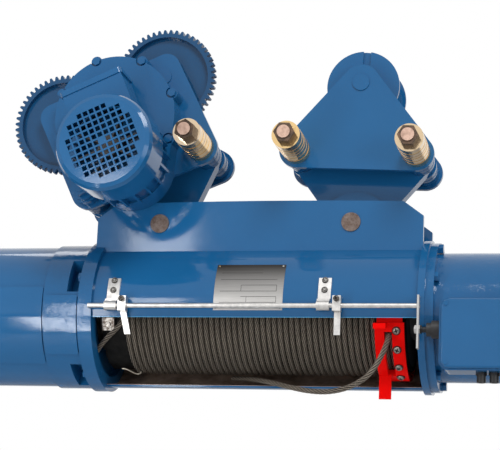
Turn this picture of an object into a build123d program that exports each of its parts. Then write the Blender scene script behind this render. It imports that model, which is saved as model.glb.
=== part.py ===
from build123d import *
import math
import os

# Electric wire rope hoist on two monorail bogies, in millimetres.
# It is worked out in the drum's frame: +X along the drum and the beam, +Z up, the viewer on -Y,
# z = 0 on the drum axis and x = 0 midway between the two suspension pins.
# The finished pieces are then lowered, so that the part's origin lies on the beam's running surface.

# Rope and drum
rope_d = 11.0
groove_pitch = 12.0
rope_turns = 47
barrel_r = 111.0
barrel_wall = 10.0
barrel_left = -312.0
barrel_right = 326.0
rope_left = -250.0
rope_r = barrel_r + rope_d
rope_right = rope_left + groove_pitch * rope_turns
seat_gap = 0.05
running_gap = 0.3
hub_web = 12.0
journal_r = 45.0
journal_bore = 24.0
bearing_w = 16.0
bearing_r = 70.0
tail_bearing_r = 46.0
clamp_angles = (-17.0, 103.0, 223.0)
clamp_half = 6.5
clamp_t = 9.0
clamp_screw_r = 5.0
clamp_inset = 2.0
clamp_left = barrel_left + clamp_inset
clamp_length = 26.0

# Drum shell, its end rings and the two lifting plates
shell_room = 25.0
shell_sheet = 5.0
shell_r = rope_r + shell_room + shell_sheet
shell_left = -337.0
shell_right = 369.0
ring_w = 14.5
ring_lip = 8.0
ring_r = shell_r + ring_lip
ring_land = 24.0
ring_bore = shell_r - ring_land
right_bolts = 8
window_top = -10.0
window_bottom = -85.0
plate_t = 12.0
plate_face = 85.0
plate_left = -341.8
plate_right = 355.2
plate_camber = 4.0
plate_chamfer_x = 41.5
plate_chamfer_z = 31.0
plate_low_share = 0.6
pin_r = 20.0
pin_x = 204.75
pin_over_shell = 34.0
pin_z = shell_r + pin_over_shell
pin_proud = 3.0
pin_tail = 12.0
pin_sleeve_wall = 8.0
plate_over_pin = 43.5
plate_top = pin_z + plate_over_pin
keeper_t = 5.0
keeper_half = 34.0
keeper_h = 24.0
keeper_up = 14.0
keeper_screw_places = ((-25.0, 22.0), (25.0, 22.0))

# Screws and bolts of the frame
small_screw_r = 4.0
small_head_r = 7.0
small_head_t = 4.5
flange_bolt_r = 6.0
flange_head = 18.0
flange_head_t = 8.0
bracket_screw_r = 3.0
bracket_head_r = 5.5
bracket_head_t = 3.4
bracket_screw_angles = (19.0, 11.0)
rivet_r = 2.0
rivet_l = 3.0

# Hoist motor
shield_flange_w = 15.2
shield_left = -430.0
shield_step = 2.0
shield_r = shell_r + shield_step
shield_spigot_l = 10.0
shield_web_t = 12.0
shield_room_wall = 25.0
motor_left = -650.0
motor_r = 150.0
motor_wall = 16.0
brake_cover_left = -745.0
stator_left = -600.0
stator_right = -470.0
rotor_r = 75.0
air_gap = 0.5
winding_over = 25.0
winding_room = 16.0
winding_clear = 11.0
rotor_shaft_r = 17.5
brake_cover_t = 6.0
brake_cover_round = 26.0
brake_web_t = 14.0
brake_spigot_l = 12.0
brake_bore_r = 30.0
vent_rings = ((100.0, 12), (68.0, 20), (40.0, 26))
vent_r = 7.0
brake_disc_r = 96.0
fan_blade_r = 92.0
fan_hub_r = 34.0
fan_blades = 12
drive_shaft_r = 15.0
coupling_r = 22.0
coupling_left = -300.0
coupling_right = -240.0
pocket_w = 27.0
pocket_depth = 34.0
pocket_half = 15.0
pocket_angles = (25.0, 115.0, 205.0, 295.0)
boss_angles = (6.5, -39.0)
boss_proud = 7.0
pad_angles = (14.0, -49.0)
pad_proud = 6.0
pad_length = 160.0
cast_edge = 4.0
cast_root = 10.0

# Gearbox and its three reductions: teeth and modules
gearbox_flange_step = 3.0
gearbox_flange_r = shell_r + gearbox_flange_step
gearbox_flange_w = 17.0
gearbox_step = 18.0
gearbox_r = shell_r - gearbox_step
gearbox_wall = 10.0
gearbox_right = 510.0
gear_cover_t = 16.0
gear_w = 18.0
gear_gap = 6.0
z_input, z_first, module_first = 12, 50, 2.0
z_second_pinion, z_second, module_second = 14, 28, 2.5
z_last_pinion, z_output, module_last = 13, 43, 3.0
countershaft_b_angle = 60.0
countershaft_r = 12.0
input_end_r = 9.0
shaft_end_gap = 6.0
cover_boss_wall = 9.0
cover_boss_l = 16.0

# Control box and limit switch gear
box_left = 403.5
box_length = 150.0
box_top = 7.0
box_height = 145.0
box_depth = 59.0
box_behind_rod = 29.0
box_corner = 20.0
box_wall = 4.0
box_saddle_inset = 25.0
lid_t = 10.0
lid_inset = 3.5
lid_edge = 5.0
lid_screw_inset = 14.0
lid_screw_r = 3.0
lid_head_r = 4.5
lid_head_t = 2.0
gland_places = (484.5, 509.5, 534.5)
gland_thread_r = 8.0
gland_bore_r = 5.5
gland_body_r = 11.0
gland_nut_t = 6.0
gland_cap_l = 20.0
limit_rod_r = 5.0
limit_rod_off = 14.0
limit_y = -shell_r - limit_rod_off
box_back = limit_y + box_behind_rod
box_front = box_back - box_depth
limit_rod_z = -5.0
limit_rod_left = -327.0
limit_rod_right = 359.0
plunger_z = -53.0
plunger_r = 6.0
bracket_places = (-278.0, 166.0)
bracket_w = 26.0
strap_t = 4.0
strap_angles = (21.0, 4.0)
sleeve_r = 10.0
stop_places = (-252.0, 195.0)
stop_leans = (12.0, 0.0)
stop_w = 17.0
stop_front = 11.0
stop_back = 8.0
stop_down = 12.0
stop_up = 19.0
finger_t = 4.0
finger_inset = 2.0
finger_tip_z = -64.0
stop_screw_r = 5.0
stop_screw_l = 4.0
rod_fit = 0.08
end_plate_t = 4.0
end_plate_z = (-92.0, 15.0)
end_plate_front = 13.0
plunger_nut = 16.0
plunger_nut_t = 5.0
plunger_reach = 18.0
bush_left = 376.0
bush_r = 13.5
bush_collar_left = 386.0
bush_collar_r = 18.0

# Name plate
name_x = (-64.0, 80.0)
name_angles = (35.0, -4.5)
name_t = 1.0
rivet_inset_x = 5.0
rivet_inset_angle = 2.0

# Rope guide
guide_left = 266.0
guide_w = 60.0
guide_ring_t = 9.7
guide_plate_t = 5.0
guide_top = -14.0
guide_bottom = -80.0
guide_slot_x = 293.0
guide_slot_w = 16.0
guide_slot_angles = (-22.0, -70.0)
guide_ring_inset = 4.0
guide_tab_y = (-47.0, -41.0)
guide_tab_bottom = -176.0
guide_tab_top = -120.0
guide_lug_w = 25.0
guide_lug_reach = 157.0
guide_lug_span = 4.0
guide_screw_angles = (-21.0, -38.0, -57.0, -72.0)
guide_screw_inset = 16.0
guide_screw_r = 4.0
guide_hole_floor = 0.7
guide_screw_sink = 2.0
guide_head_r = 7.5
guide_head_t = 4.0

# Trolley bogies: heights and places are measured from the suspension pin
wheel_height = 302.0
tread_r = 67.0
flange_r = 77.3
front = -1
rear = 1
side_gap = 150.0
side_t = 12.0
axle_r = 18.0
axle_journal_r = 17.5
axle_proud = 3.0
axle_step = 1.5
axle_collar_wall = 8.0
wheel_bore_r = 36.0
wheel_bearing_w = 17.0
wheel_bearing_in = 4.0
hub_r = 46.0
hub_proud = 4.0
bearing_out = 62.0
gear_rim_r = 94.5
web_recess = 13.0
tread_rim = 8.0
notch_half = 8.0
notch_offset = 4.0
notch_depth = 7.0
tread_inner = 22.0
tread_w = 27.0
flange_w = 8.0
gear_ring_w = 16.0
wheel_gear_teeth = 52
pinion_teeth = 13
wheel_module = 4.15
wheel_half = 122.0
bolt_r = 13.5
bolt_hole_r = 14.0
washer_r = 30.0
nut_across = 38.0
nut_t = 22.0
bolt_proud = 4.0
washer_step = 0.6
link_t = 30.0
link_pin_r = 32.0
link_lug_r = 26.0
link_pad_r = 78.0
link_pad_t = 12.0
outer_washers = (20.0, 5.0, 16.0, 6.0, 14.0, 9.0, 5.0, 13.0, 6.0, 26.0)
rear_washers = (6.0,)
inner_washers = (12.0, 9.0, 12.0, 9.0, 18.0)
drive_tilt = -23.5
drive_bolts = ((140.0, wheel_height - 182.0), (-121.0, wheel_height - 173.0))
drive_corner_r = 37.0
drive_top_half = 135.0
drive_top_up = wheel_height + 18.0
drive_top_r = 30.0
idle_tilt = 2.5
idle_bolts = ((126.7, 150.5), (-126.7, 150.5))
idle_corner_r = 37.0
idle_apex_r = 39.0

# Travel drive on the front side plate
reducer_r = 132.0
reducer_up = wheel_height - 57.0
reducer_depth = 53.0
reducer_wall = 8.0
reducer_bolt_count = 8
reducer_bolt_turn = 43.0
reducer_bolt_r = 5.0
reducer_bolt_head = 16.0
reducer_boss_r = 12.0
reducer_spot = 6.0
boss_reach = 40.0
boss_step = 28.0
boss_r = 30.0
boss_tip_r = 26.0
nut_room_r = 24.0
motor_seat_r = 88.0
motor_seat = (-10.0, wheel_height - 171.0)
z_motor_pinion, z_travel_first, module_travel_first = 20, 56, 1.5
z_travel_pinion, z_travel_output, module_travel = 22, 56, 2.5
travel_shaft_r = 15.0
travel_small_r = 10.0
travel_boss_wall = 9.0
travel_small_wall = 8.0
socket_floor = 4.0
travel_body_r = 84.0
travel_rib_r = 96.0
travel_rib_count = 20
travel_rib_w = 5.0
travel_body_l = 100.0
fan_cover_r = 102.0
fan_ring_r = 95.0
fan_cover_l = 90.0
fan_sheet = 2.5
fan_lap = 4.0
fan_round = 14.0
grille_hole = 9.8
grille_pitch = 13.4
grille_r = 80.0
travel_rotor_r = 45.0
travel_fan_r = 78.0
travel_fan_hub_r = 22.0
travel_fan_blades = 8
travel_fan_w = 24.0
travel_fan_room = 48.0
terminal_wall_x = (-74.0, 60.0)
terminal_above_seat = (81.0, 173.0)
terminal_before_seat = (92.0, 10.0)
terminal_lid_t = 12.0
terminal_lid_over = 3.0
terminal_lid_corner = 8.0
terminal_neck_half = 40.0
terminal_neck_in = 8.0
terminal_neck_low = 60.0

# Gear teeth
gear_addendum = 0.75
gear_dedendum = 1.25
tooth_slack = 0.04
pressure_angle = math.radians(20)

rail_height = pin_z + wheel_height - tread_r

# The loose end of the rope hangs in one loop from under the drum and is tucked into the guide's slot
loop_route = [
    (-60.0, 40.0, -124.5),
    (-15.2, 2.0, -130.2),
    (33.5, -28.0, -140.4),
    (81.2, -58.0, -155.0),
    (126.4, -86.0, -166.7),
    (167.9, -110.0, -172.0),
    (203.8, -130.0, -169.2),
    (232.2, -145.0, -160.9),
    (256.2, -155.5, -147.6),
    (274.0, -160.0, -127.6),
    (285.3, -159.6, -106.6),
    (291.9, -152.5, -87.0),
    (294.6, -138.0, -70.6),
    (294.6, -119.8, -57.0),
]
loop_share = 0.45

# Places that follow from these
sheet_left = shell_left + ring_w
sheet_right = shell_right - ring_w
left_bolts = len(pocket_angles)
shell_ring_spans = ((shell_left, sheet_left), (sheet_right, shell_right))
motor_flange_left = shell_left - shield_flange_w
gear_face = shell_right + gearbox_flange_w
ring_inner = rope_r + running_gap
ring_outer = ring_inner + guide_ring_t
face_outer = ring_outer + guide_plate_t
guide_right = guide_left + guide_w
guide_screw_x = guide_right - guide_screw_inset
gland_y = (box_front + box_back) / 2
lid_screw_places = [
    (x, z)
    for x in (box_left + lid_screw_inset, box_left + box_length - lid_screw_inset)
    for z in (box_top - lid_screw_inset, box_top - box_height + lid_screw_inset)
]
side_in = side_gap / 2
side_out = side_in + side_t
wheel_flange_in = tread_inner + tread_w
gear_ring_in = wheel_flange_in + flange_w
gear_ring_out = gear_ring_in + gear_ring_w
reducer_front = -side_out - reducer_depth
travel_first_y = (-side_out - 17, -side_out - 5)
travel_second_y = (-side_out - 38, -side_out - 21)
travel_motor_front = reducer_front - travel_body_l
fan_front = travel_motor_front - fan_cover_l
terminal_y = tuple(reducer_front - before for before in terminal_before_seat)
terminal_z = tuple(motor_seat[1] + above for above in terminal_above_seat)

os.makedirs("parts", exist_ok=True)


def save(name, pieces):
    """Write one node, lowered so that its origin is on the beam's running surface."""
    solids = []
    for piece in pieces:
        solids.extend((Pos(0, 0, -rail_height) * piece).solids())
    export_step(Compound(children=solids), "parts/" + name + ".step")


def rod_x(radius, x0, x1, y=0.0, z=0.0):
    return Pos((x0 + x1) / 2, y, z) * Rot(0, 90, 0) * Cylinder(radius, x1 - x0)


def tube_x(outer, inner, x0, x1, y=0.0, z=0.0):
    return rod_x(outer, x0, x1, y, z) - rod_x(inner, x0 - 1, x1 + 1, y, z)


def rod_y(radius, y0, y1, x=0.0, z=0.0):
    return Pos(x, (y0 + y1) / 2, z) * Rot(90, 0, 0) * Cylinder(radius, y1 - y0)


def tube_y(outer, inner, y0, y1, x=0.0, z=0.0):
    return rod_y(outer, y0, y1, x, z) - rod_y(inner, y0 - 1, y1 + 1, x, z)


def side_span(side, a, b):
    """Two distances from the middle, as y values in rising order on the front or the rear side."""
    return sorted((side * a, side * b))


def block(x0, x1, y0, y1, z0, z1):
    return Pos((x0 + x1) / 2, (y0 + y1) / 2, (z0 + z1) / 2) * Box(x1 - x0, y1 - y0, z1 - z0)


def across_y(sketch, y0, y1):
    """A sketch drawn as (x, z), thickened from y0 to y1."""
    return Pos(0, y1, 0) * Rot(90, 0, 0) * extrude(sketch, y1 - y0)


def along_x(sketch, x0, x1):
    """A sketch drawn as (y, z), thickened from x0 to x1."""
    return extrude(Plane.YZ.offset(x0) * sketch, x1 - x0)


def sector(inner, outer, top, bottom):
    """A ring sector in (y, z). Angles count up from the horizontal on the viewer's side."""
    start = 180.0 - top
    size = top - bottom
    outside = CenterArc((0, 0), outer, start, size)
    inside = CenterArc((0, 0), inner, start, size)
    ends = [Line(outside @ 0, inside @ 0), Line(outside @ 1, inside @ 1)]
    return make_face([outside, inside] + ends)


def tangent_hull(circles):
    """The outline round a convex ring of circles (x, z, radius), given anticlockwise."""
    def on_circle(index, turn):
        x, z, radius = circles[index % len(circles)]
        return x + radius * math.cos(turn), z + radius * math.sin(turn)

    turns = []
    for index in range(len(circles)):
        x0, z0, r0 = circles[index]
        x1, z1, r1 = circles[(index + 1) % len(circles)]
        length = math.hypot(x1 - x0, z1 - z0)
        turns.append(math.atan2(z1 - z0, x1 - x0) - math.acos((r0 - r1) / length))
    edges = []
    for index, turn in enumerate(turns):
        after = turns[(index + 1) % len(turns)]
        middle = turn + (after - turn) % (2 * math.pi) / 2
        start = on_circle(index + 1, turn)
        edges.append(Line(on_circle(index, turn), start))
        edges.append(ThreePointArc(start, on_circle(index + 1, middle), on_circle(index + 1, after)))
    return make_face(edges)


def hexagon(across, x=0.0, z=0.0):
    return Pos(x, z) * RegularPolygon(across / 2, 6, major_radius=False)


def gear(teeth, module, phase=0.0):
    """An involute gear's outline, with a tooth's middle at the angle phase in degrees."""
    pitch_r = module * teeth / 2
    base_r = pitch_r * math.cos(pressure_angle)
    tip_r = pitch_r + gear_addendum * module
    root_r = pitch_r - gear_dedendum * module
    low_r = max(base_r, root_r)
    inv_pitch = math.tan(pressure_angle) - pressure_angle
    half_tooth = math.pi / (2 * teeth) - tooth_slack * module / pitch_r
    flank = []
    for step in range(5):
        radius = low_r + (tip_r - low_r) * step / 4
        alpha = math.acos(min(1.0, base_r / radius))
        flank.append((radius, half_tooth + inv_pitch - (math.tan(alpha) - alpha)))
    if root_r < low_r:
        flank.insert(0, (root_r, flank[0][1]))
    points = []
    for tooth in range(teeth):
        middle = math.radians(phase) + 2 * math.pi * tooth / teeth
        for radius, half in flank:
            points.append((radius * math.cos(middle - half), radius * math.sin(middle - half)))
        for radius, half in reversed(flank):
            points.append((radius * math.cos(middle + half), radius * math.sin(middle + half)))
    return make_face(Polyline(*points, close=True))


def meshed_phase(place_a, teeth_a, phase_a, place_b, teeth_b):
    """The phase that lets gear b mesh with gear a, in degrees."""
    line = math.degrees(math.atan2(place_b[1] - place_a[1], place_b[0] - place_a[0]))
    share_a = (line - phase_a) * teeth_a / 360.0
    share_b = 0.5 - share_a
    return line + 180.0 - share_b * 360.0 / teeth_b


def at_angle(radius, degrees):
    """The (y, z) place at a radius from the drum axis, counted up from the viewer's side."""
    turn = math.radians(180.0 - degrees)
    return radius * math.cos(turn), radius * math.sin(turn)


def radial_rod(radius, length, x, middle_r, angle):
    """A rod that points away from the drum axis, with its middle at the radius middle_r."""
    y, z = at_angle(middle_r, angle)
    return Pos(x, y, z) * Rot(90 - angle, 0, 0) * Cylinder(radius, length)


# Drum shell and lifting plates

def drum_shell():
    turn = 360.0 + window_bottom
    return along_x(sector(shell_r - shell_sheet, shell_r, turn, window_top), sheet_left, sheet_right)


def ring_bolt_places(count):
    radius = (ring_r + ring_bore) / 2
    return [at_angle(radius, pocket_angles[0] + 360.0 * index / count) for index in range(count)]


def shell_rings():
    rings = []
    for x0, x1 in shell_ring_spans:
        ring = tube_x(ring_r, ring_bore, x0, x1)
        for y, z in ring_bolt_places(left_bolts if x0 < 0 else right_bolts):
            ring -= rod_x(flange_bolt_r + seat_gap, x0 - 1, x1 + 1, y, z)
        rings.append(ring)
    return rings


def lifting_plate(side):
    """The plate on the viewer's side (front) or the far one (rear)."""
    low = shell_r * plate_low_share
    shoulder = plate_top - plate_chamfer_z
    left_top = (plate_left + plate_chamfer_x, plate_top)
    right_top = (plate_right - plate_chamfer_x, plate_top)
    crown = ((plate_left + plate_right) / 2, plate_top + plate_camber)
    sides = Polyline(left_top, (plate_left, shoulder), (plate_left, low), (plate_right, low),
                     (plate_right, shoulder), right_top)
    outline = make_face([sides, ThreePointArc(right_top, crown, left_top)])
    for x in (-pin_x, pin_x):
        outline -= Pos(x, pin_z) * Circle(pin_r + seat_gap)
    y0, y1 = side_span(side, plate_face, plate_face - plate_t)
    plate = across_y(outline, y0, y1)
    plate -= rod_x(shell_r + seat_gap, sheet_left, sheet_right)
    plate -= rod_x(ring_r + seat_gap, plate_left - 1, sheet_left)
    plate -= rod_x(ring_r + seat_gap, sheet_right, plate_right + 1)
    for x in (-pin_x, pin_x):
        for dx, dz in keeper_screw_places:
            if side == rear:
                plate -= rod_y(small_screw_r + seat_gap, y0 - 1, y1 + 1, x + dx, pin_z + dz)
    return plate


def suspension_pins():
    pieces = []
    spacer_in = link_t / 2 + link_pad_t + running_gap
    spacer_out = plate_face - plate_t
    for x in (-pin_x, pin_x):
        pin = rod_y(pin_r, -plate_face - pin_proud, plate_face + pin_tail, x, pin_z)
        notch = block(x - pin_r - 1, x + pin_r + 1, plate_face - seat_gap,
                      plate_face + keeper_t + running_gap, pin_z + keeper_up - seat_gap, pin_z + pin_r + 1)
        pieces.append(pin - notch)
        for side in (front, rear):
            y0, y1 = side_span(side, spacer_in, spacer_out)
            pieces.append(tube_y(pin_r + pin_sleeve_wall, pin_r + seat_gap, y0, y1, x, pin_z))
    return pieces


def pin_keepers():
    pieces = []
    for x in (-pin_x, pin_x):
        keeper = block(x - keeper_half, x + keeper_half, plate_face, plate_face + keeper_t,
                       pin_z + keeper_up, pin_z + keeper_up + keeper_h)
        outside = plate_face + keeper_t
        for dx, dz in keeper_screw_places:
            place = (x + dx, pin_z + dz)
            keeper -= rod_y(small_screw_r + seat_gap, plate_face - 1, outside + 1, *place)
            shank = rod_y(small_screw_r, plate_face - plate_t, outside, *place)
            head = across_y(hexagon(2 * small_head_r, *place), outside, outside + small_head_t)
            pieces.append(shank + head)
        pieces.append(keeper)
    return pieces


# Hoist motor

def soft_cast(raised):
    """Rounds the corners of a cast pad that stand in the radial direction."""
    corners = []
    for edge in raised.edges():
        if edge.geom_type == GeomType.LINE and abs(edge.tangent_at(0).X) < 0.1:
            corners.append(edge)
    return fillet(corners, cast_edge)


def motor_end_shield():
    body = rod_x(ring_r, motor_flange_left, shell_left) + rod_x(shield_r, shield_left, motor_flange_left)
    body += rod_x(motor_r - motor_wall - seat_gap, shield_left - shield_spigot_l, shield_left)
    hollow = rod_x(bearing_r + shield_room_wall, shield_left - shield_spigot_l - 1,
                   motor_flange_left - shield_web_t)
    seat = rod_x(bearing_r + seat_gap, shell_left - bearing_w, shell_left + 1)
    bore = rod_x(journal_bore, shield_left - 20, shell_left + 1)
    body = body - hollow - seat - bore
    for angle in pocket_angles:
        opening = sector(shield_r - pocket_depth, shield_r + pocket_depth, angle + pocket_half,
                         angle - pocket_half)
        body -= along_x(opening, motor_flange_left - pocket_w, motor_flange_left)
    for y, z in ring_bolt_places(left_bolts):
        body -= rod_x(flange_bolt_r + seat_gap, motor_flange_left - pocket_w, shell_left + 1, y, z)
    boss = along_x(sector(shield_r - cast_root, shield_r + boss_proud, *boss_angles), shield_left + 4,
                   motor_flange_left - 2)
    return body + soft_cast(boss)


def motor_housing():
    body = tube_x(motor_r, motor_r - motor_wall, motor_left, shield_left)
    pad = along_x(sector(motor_r - 8, motor_r + pad_proud, *pad_angles), shield_left - pad_length,
                  shield_left - 1)
    return body + soft_cast(pad)


def motor_brake_cover():
    spigot_r = motor_r - motor_wall - seat_gap
    spigot_x = motor_left + brake_spigot_l
    left = brake_cover_left
    inner_left = left + brake_cover_t
    inner_r = motor_r - brake_cover_t
    outside = [(motor_left, motor_r), (left + brake_cover_round, motor_r), (left + 8, motor_r - 8),
               (left, motor_r - brake_cover_round), (left, 0)]
    inside = [(inner_left, 0), (inner_left, inner_r - 24), (inner_left + 7, inner_r - 8),
              (inner_left + 22, inner_r), (motor_left - brake_web_t, inner_r)]
    web = [(motor_left - brake_web_t, brake_bore_r), (spigot_x, brake_bore_r), (spigot_x, spigot_r),
           (motor_left, spigot_r)]
    profile = Polyline(*outside, *inside, *web, close=True)
    cover = revolve(Plane.XZ * make_face(profile), Axis.X)
    seat = rod_x(tail_bearing_r, motor_left - 3, spigot_x + 1)
    slots = []
    for inset, count in vent_rings:
        for index in range(count):
            y, z = at_angle(motor_r - inset, 360.0 * index / count)
            slots.append(rod_x(vent_r, left - 1, inner_left + 1, y, z))
    return cover - seat - slots


def motor_stator():
    core = tube_x(motor_r - motor_wall - seat_gap, rotor_r + air_gap, stator_left, stator_right)
    windings = []
    outer = motor_r - motor_wall - winding_room
    for x0, x1 in ((stator_left - winding_over, stator_left), (stator_right, stator_right + winding_over)):
        windings.append(tube_x(outer, rotor_r + winding_clear, x0, x1))
    return [core] + windings


def motor_rotor():
    shaft = rod_x(rotor_shaft_r, motor_left - 55, (coupling_left + coupling_right) / 2)
    core = tube_x(rotor_r, rotor_shaft_r + seat_gap, stator_left, stator_right)
    fan_left, fan_right = motor_left - 34, motor_left - 18
    disc = tube_x(brake_disc_r, rotor_shaft_r + seat_gap, fan_left - 10, fan_left)
    fan = tube_x(fan_hub_r, rotor_shaft_r + seat_gap, fan_left, fan_right)
    for index in range(fan_blades):
        blade = block(fan_left, fan_right, -2, 2, fan_hub_r - 4, fan_blade_r)
        fan += Rot(360.0 * index / fan_blades, 0, 0) * blade
    return [shaft, core, disc, fan]


def drive_shaft():
    middle = (coupling_left + coupling_right) / 2
    sleeve = rod_x(coupling_r, coupling_left, coupling_right)
    sleeve -= rod_x(rotor_shaft_r + seat_gap, coupling_left - 1, middle)
    sleeve -= rod_x(drive_shaft_r + seat_gap, middle, coupling_right + 1)
    shaft = rod_x(drive_shaft_r, middle + 0.2, gear_x_first[0] - 3)
    shaft += rod_x(input_end_r, gear_x_first[0] - 3, gearbox_right + gear_cover_t - shaft_end_gap)
    shaft += along_x(gear(z_input, module_first, input_phase), gear_x_first[0], gear_x_first[1])
    return [sleeve, shaft]


# Gearbox

gear_x_last = (gear_face + gear_gap, gear_face + gear_gap + gear_w + 8)
gear_x_second = (gear_x_last[1] + gear_gap, gear_x_last[1] + gear_gap + gear_w)
gear_x_first = (gear_x_second[1] + gear_gap, gear_x_second[1] + gear_gap + gear_w)
centre_a = module_first * (z_input + z_first) / 2
centre_b = module_last * (z_last_pinion + z_output) / 2
centre_ab = module_second * (z_second_pinion + z_second) / 2
cosine_between = (centre_a ** 2 + centre_b ** 2 - centre_ab ** 2) / (2 * centre_a * centre_b)
between = math.degrees(math.acos(cosine_between))
angle_b = math.radians(countershaft_b_angle)
angle_a = math.radians(countershaft_b_angle + between)
place_0 = (0.0, 0.0)
place_a = (centre_a * math.cos(angle_a), centre_a * math.sin(angle_a))
place_b = (centre_b * math.cos(angle_b), centre_b * math.sin(angle_b))
phase_output = 0.0
phase_last = meshed_phase(place_0, z_output, phase_output, place_b, z_last_pinion)
phase_second = 0.0
phase_second_pinion = meshed_phase(place_b, z_second, phase_second, place_a, z_second_pinion)
phase_first = 0.0
input_phase = meshed_phase(place_a, z_first, phase_first, place_0, z_input)


def gear_at(teeth, module, phase, place, span):
    return along_x(Pos(*place) * gear(teeth, module, phase), span[0], span[1])


def output_gear():
    ring = gear_at(z_output, module_last, phase_output, place_0, gear_x_last)
    return ring - rod_x(journal_r + seat_gap, gear_x_last[0] - 1, gear_x_last[1] + 1)


def countershaft_b():
    shaft = rod_x(countershaft_r, shell_right + 3, gear_x_second[1] + 2, *place_b)
    pinion = gear_at(z_last_pinion, module_last, phase_last, place_b, gear_x_last)
    wheel = gear_at(z_second, module_second, phase_second, place_b, gear_x_second)
    return shaft + pinion + wheel


def countershaft_a():
    shaft = rod_x(countershaft_r, gear_x_second[0] - 2, gearbox_right + gear_cover_t - shaft_end_gap,
                  *place_a)
    pinion = gear_at(z_second_pinion, module_second, phase_second_pinion, place_a, gear_x_second)
    wheel = gear_at(z_first, module_first, phase_first, place_a, gear_x_first)
    return shaft + pinion + wheel


def gearbox_housing():
    body = rod_x(gearbox_flange_r, shell_right, gear_face) + rod_x(gearbox_r, gear_face, gearbox_right)
    body -= rod_x(gearbox_r - gearbox_wall, gear_face, gearbox_right + 1)
    body -= rod_x(bearing_r + seat_gap, shell_right - 1, gear_face + 1)
    body -= rod_x(countershaft_r + seat_gap, shell_right - 1, gear_face + 1, *place_b)
    for y, z in ring_bolt_places(right_bolts):
        body -= rod_x(flange_bolt_r + seat_gap, shell_right - 1, gear_face + 1, y, z)
    saddle = block(box_left + 12, gearbox_right - 2, box_back, -gearbox_r + 12,
                   box_top - box_height + box_saddle_inset, box_top - box_saddle_inset)
    return body + (saddle - rod_x(gearbox_r - 3, box_left, box_left + box_length))


def gearbox_cover():
    outside = gearbox_right + gear_cover_t
    profile = Polyline((gearbox_right, 0), (gearbox_right, gearbox_r), (outside - 7, gearbox_r),
                       (outside, gearbox_r - 12), (outside, 0), close=True)
    cover = revolve(Plane.XZ * make_face(profile), Axis.X)
    for place, radius in ((place_0, input_end_r), (place_a, countershaft_r)):
        cover += rod_x(radius + cover_boss_wall, gearbox_right - cover_boss_l, gearbox_right, *place)
        cover -= rod_x(radius + seat_gap, gearbox_right - cover_boss_l - 1, outside - shaft_end_gap + 1,
                       *place)
    return cover


def main_bearings():
    left = tube_x(bearing_r, journal_r + seat_gap, shell_left - bearing_w, shell_left)
    right = tube_x(bearing_r, journal_r + seat_gap, shell_right, shell_right + bearing_w)
    tail = tube_x(tail_bearing_r - seat_gap, rotor_shaft_r + seat_gap, motor_left - 3,
                  motor_left + brake_spigot_l)
    return [left, right, tail]


# Drum

def drum_hubs():
    left = rod_x(barrel_r - barrel_wall - seat_gap, barrel_left, barrel_left + hub_web)
    left += rod_x(journal_r, shell_left - bearing_w, barrel_left)
    left -= rod_x(journal_bore, shell_left - bearing_w - 1, barrel_left + hub_web + 1)
    right = rod_x(barrel_r - barrel_wall - seat_gap, barrel_right - hub_web, barrel_right)
    right += rod_x(journal_r, barrel_right, gear_x_last[1])
    right -= rod_x(journal_bore, barrel_right - hub_web - 1, gear_x_last[1] + 1)
    return [left, right]


def drum_barrel():
    return tube_x(barrel_r, barrel_r - barrel_wall, barrel_left, barrel_right)


def wound_rope():
    return tube_x(rope_r, barrel_r + seat_gap, rope_left, rope_right)


def rope_clamps():
    pieces = []
    for angle in clamp_angles:
        outline = sector(barrel_r + seat_gap, barrel_r + clamp_t, angle + clamp_half, angle - clamp_half)
        clip = along_x(outline, clamp_left, clamp_left + clamp_length)
        screw = radial_rod(clamp_screw_r, clamp_t + 1, clamp_left + clamp_length / 2, barrel_r + clamp_t - 1,
                           angle)
        pieces.append(clip - screw)
        pieces.append(screw - rod_x(barrel_r + seat_gap, clamp_left, clamp_left + clamp_length))
    return pieces


# Rope guide

def guide_slot():
    """The rope's way through the ring and the face plate."""
    return along_x(sector(ring_inner - 1, face_outer + 1, *guide_slot_angles),
                   guide_slot_x - guide_slot_w / 2, guide_slot_x + guide_slot_w / 2)


def guide_screw_holes():
    length = 2 * (face_outer - ring_inner - guide_hole_floor)
    return [radial_rod(guide_screw_r + seat_gap, length, guide_screw_x, face_outer, angle)
            for angle in guide_screw_angles]


def guide_ring():
    ring = tube_x(ring_outer, ring_inner, guide_left + guide_ring_inset, guide_right - guide_ring_inset)
    return ring - guide_slot() - guide_screw_holes()


def guide_plate():
    face = along_x(sector(ring_outer, face_outer, guide_top, guide_bottom), guide_left, guide_right)
    face -= guide_slot()
    lug_right = guide_left + guide_lug_w
    lug = along_x(sector(ring_outer + 1, guide_lug_reach, guide_top, guide_top - guide_lug_span), guide_left,
                  lug_right)
    tab = block(guide_left, lug_right, *guide_tab_y, guide_tab_bottom, guide_tab_top)
    face += lug + (tab - rod_x(ring_outer + 1, guide_left - 1, guide_right))
    return face - guide_screw_holes()


def guide_screws():
    screws = []
    tip_r = ring_inner + guide_screw_sink
    for angle in guide_screw_angles:
        shank = radial_rod(guide_screw_r, face_outer - tip_r, guide_screw_x, (tip_r + face_outer) / 2, angle)
        head = radial_rod(guide_head_r, guide_head_t, guide_screw_x, face_outer + guide_head_t / 2, angle)
        screws.append(shank + head)
    return screws


def rounded_route(points):
    """Straight runs joined by tangent arcs, each as large as its two runs allow."""
    radii = []
    for index in range(1, len(points) - 1):
        before = Vector(*points[index]) - Vector(*points[index - 1])
        after = Vector(*points[index + 1]) - Vector(*points[index])
        half = math.radians(before.get_angle(after)) / 2
        radii.append(loop_share * min(before.length, after.length) / math.tan(half))
    print("loop radii", [round(radius) for radius in radii])
    return FilletPolyline(*points, radius=radii)


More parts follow.
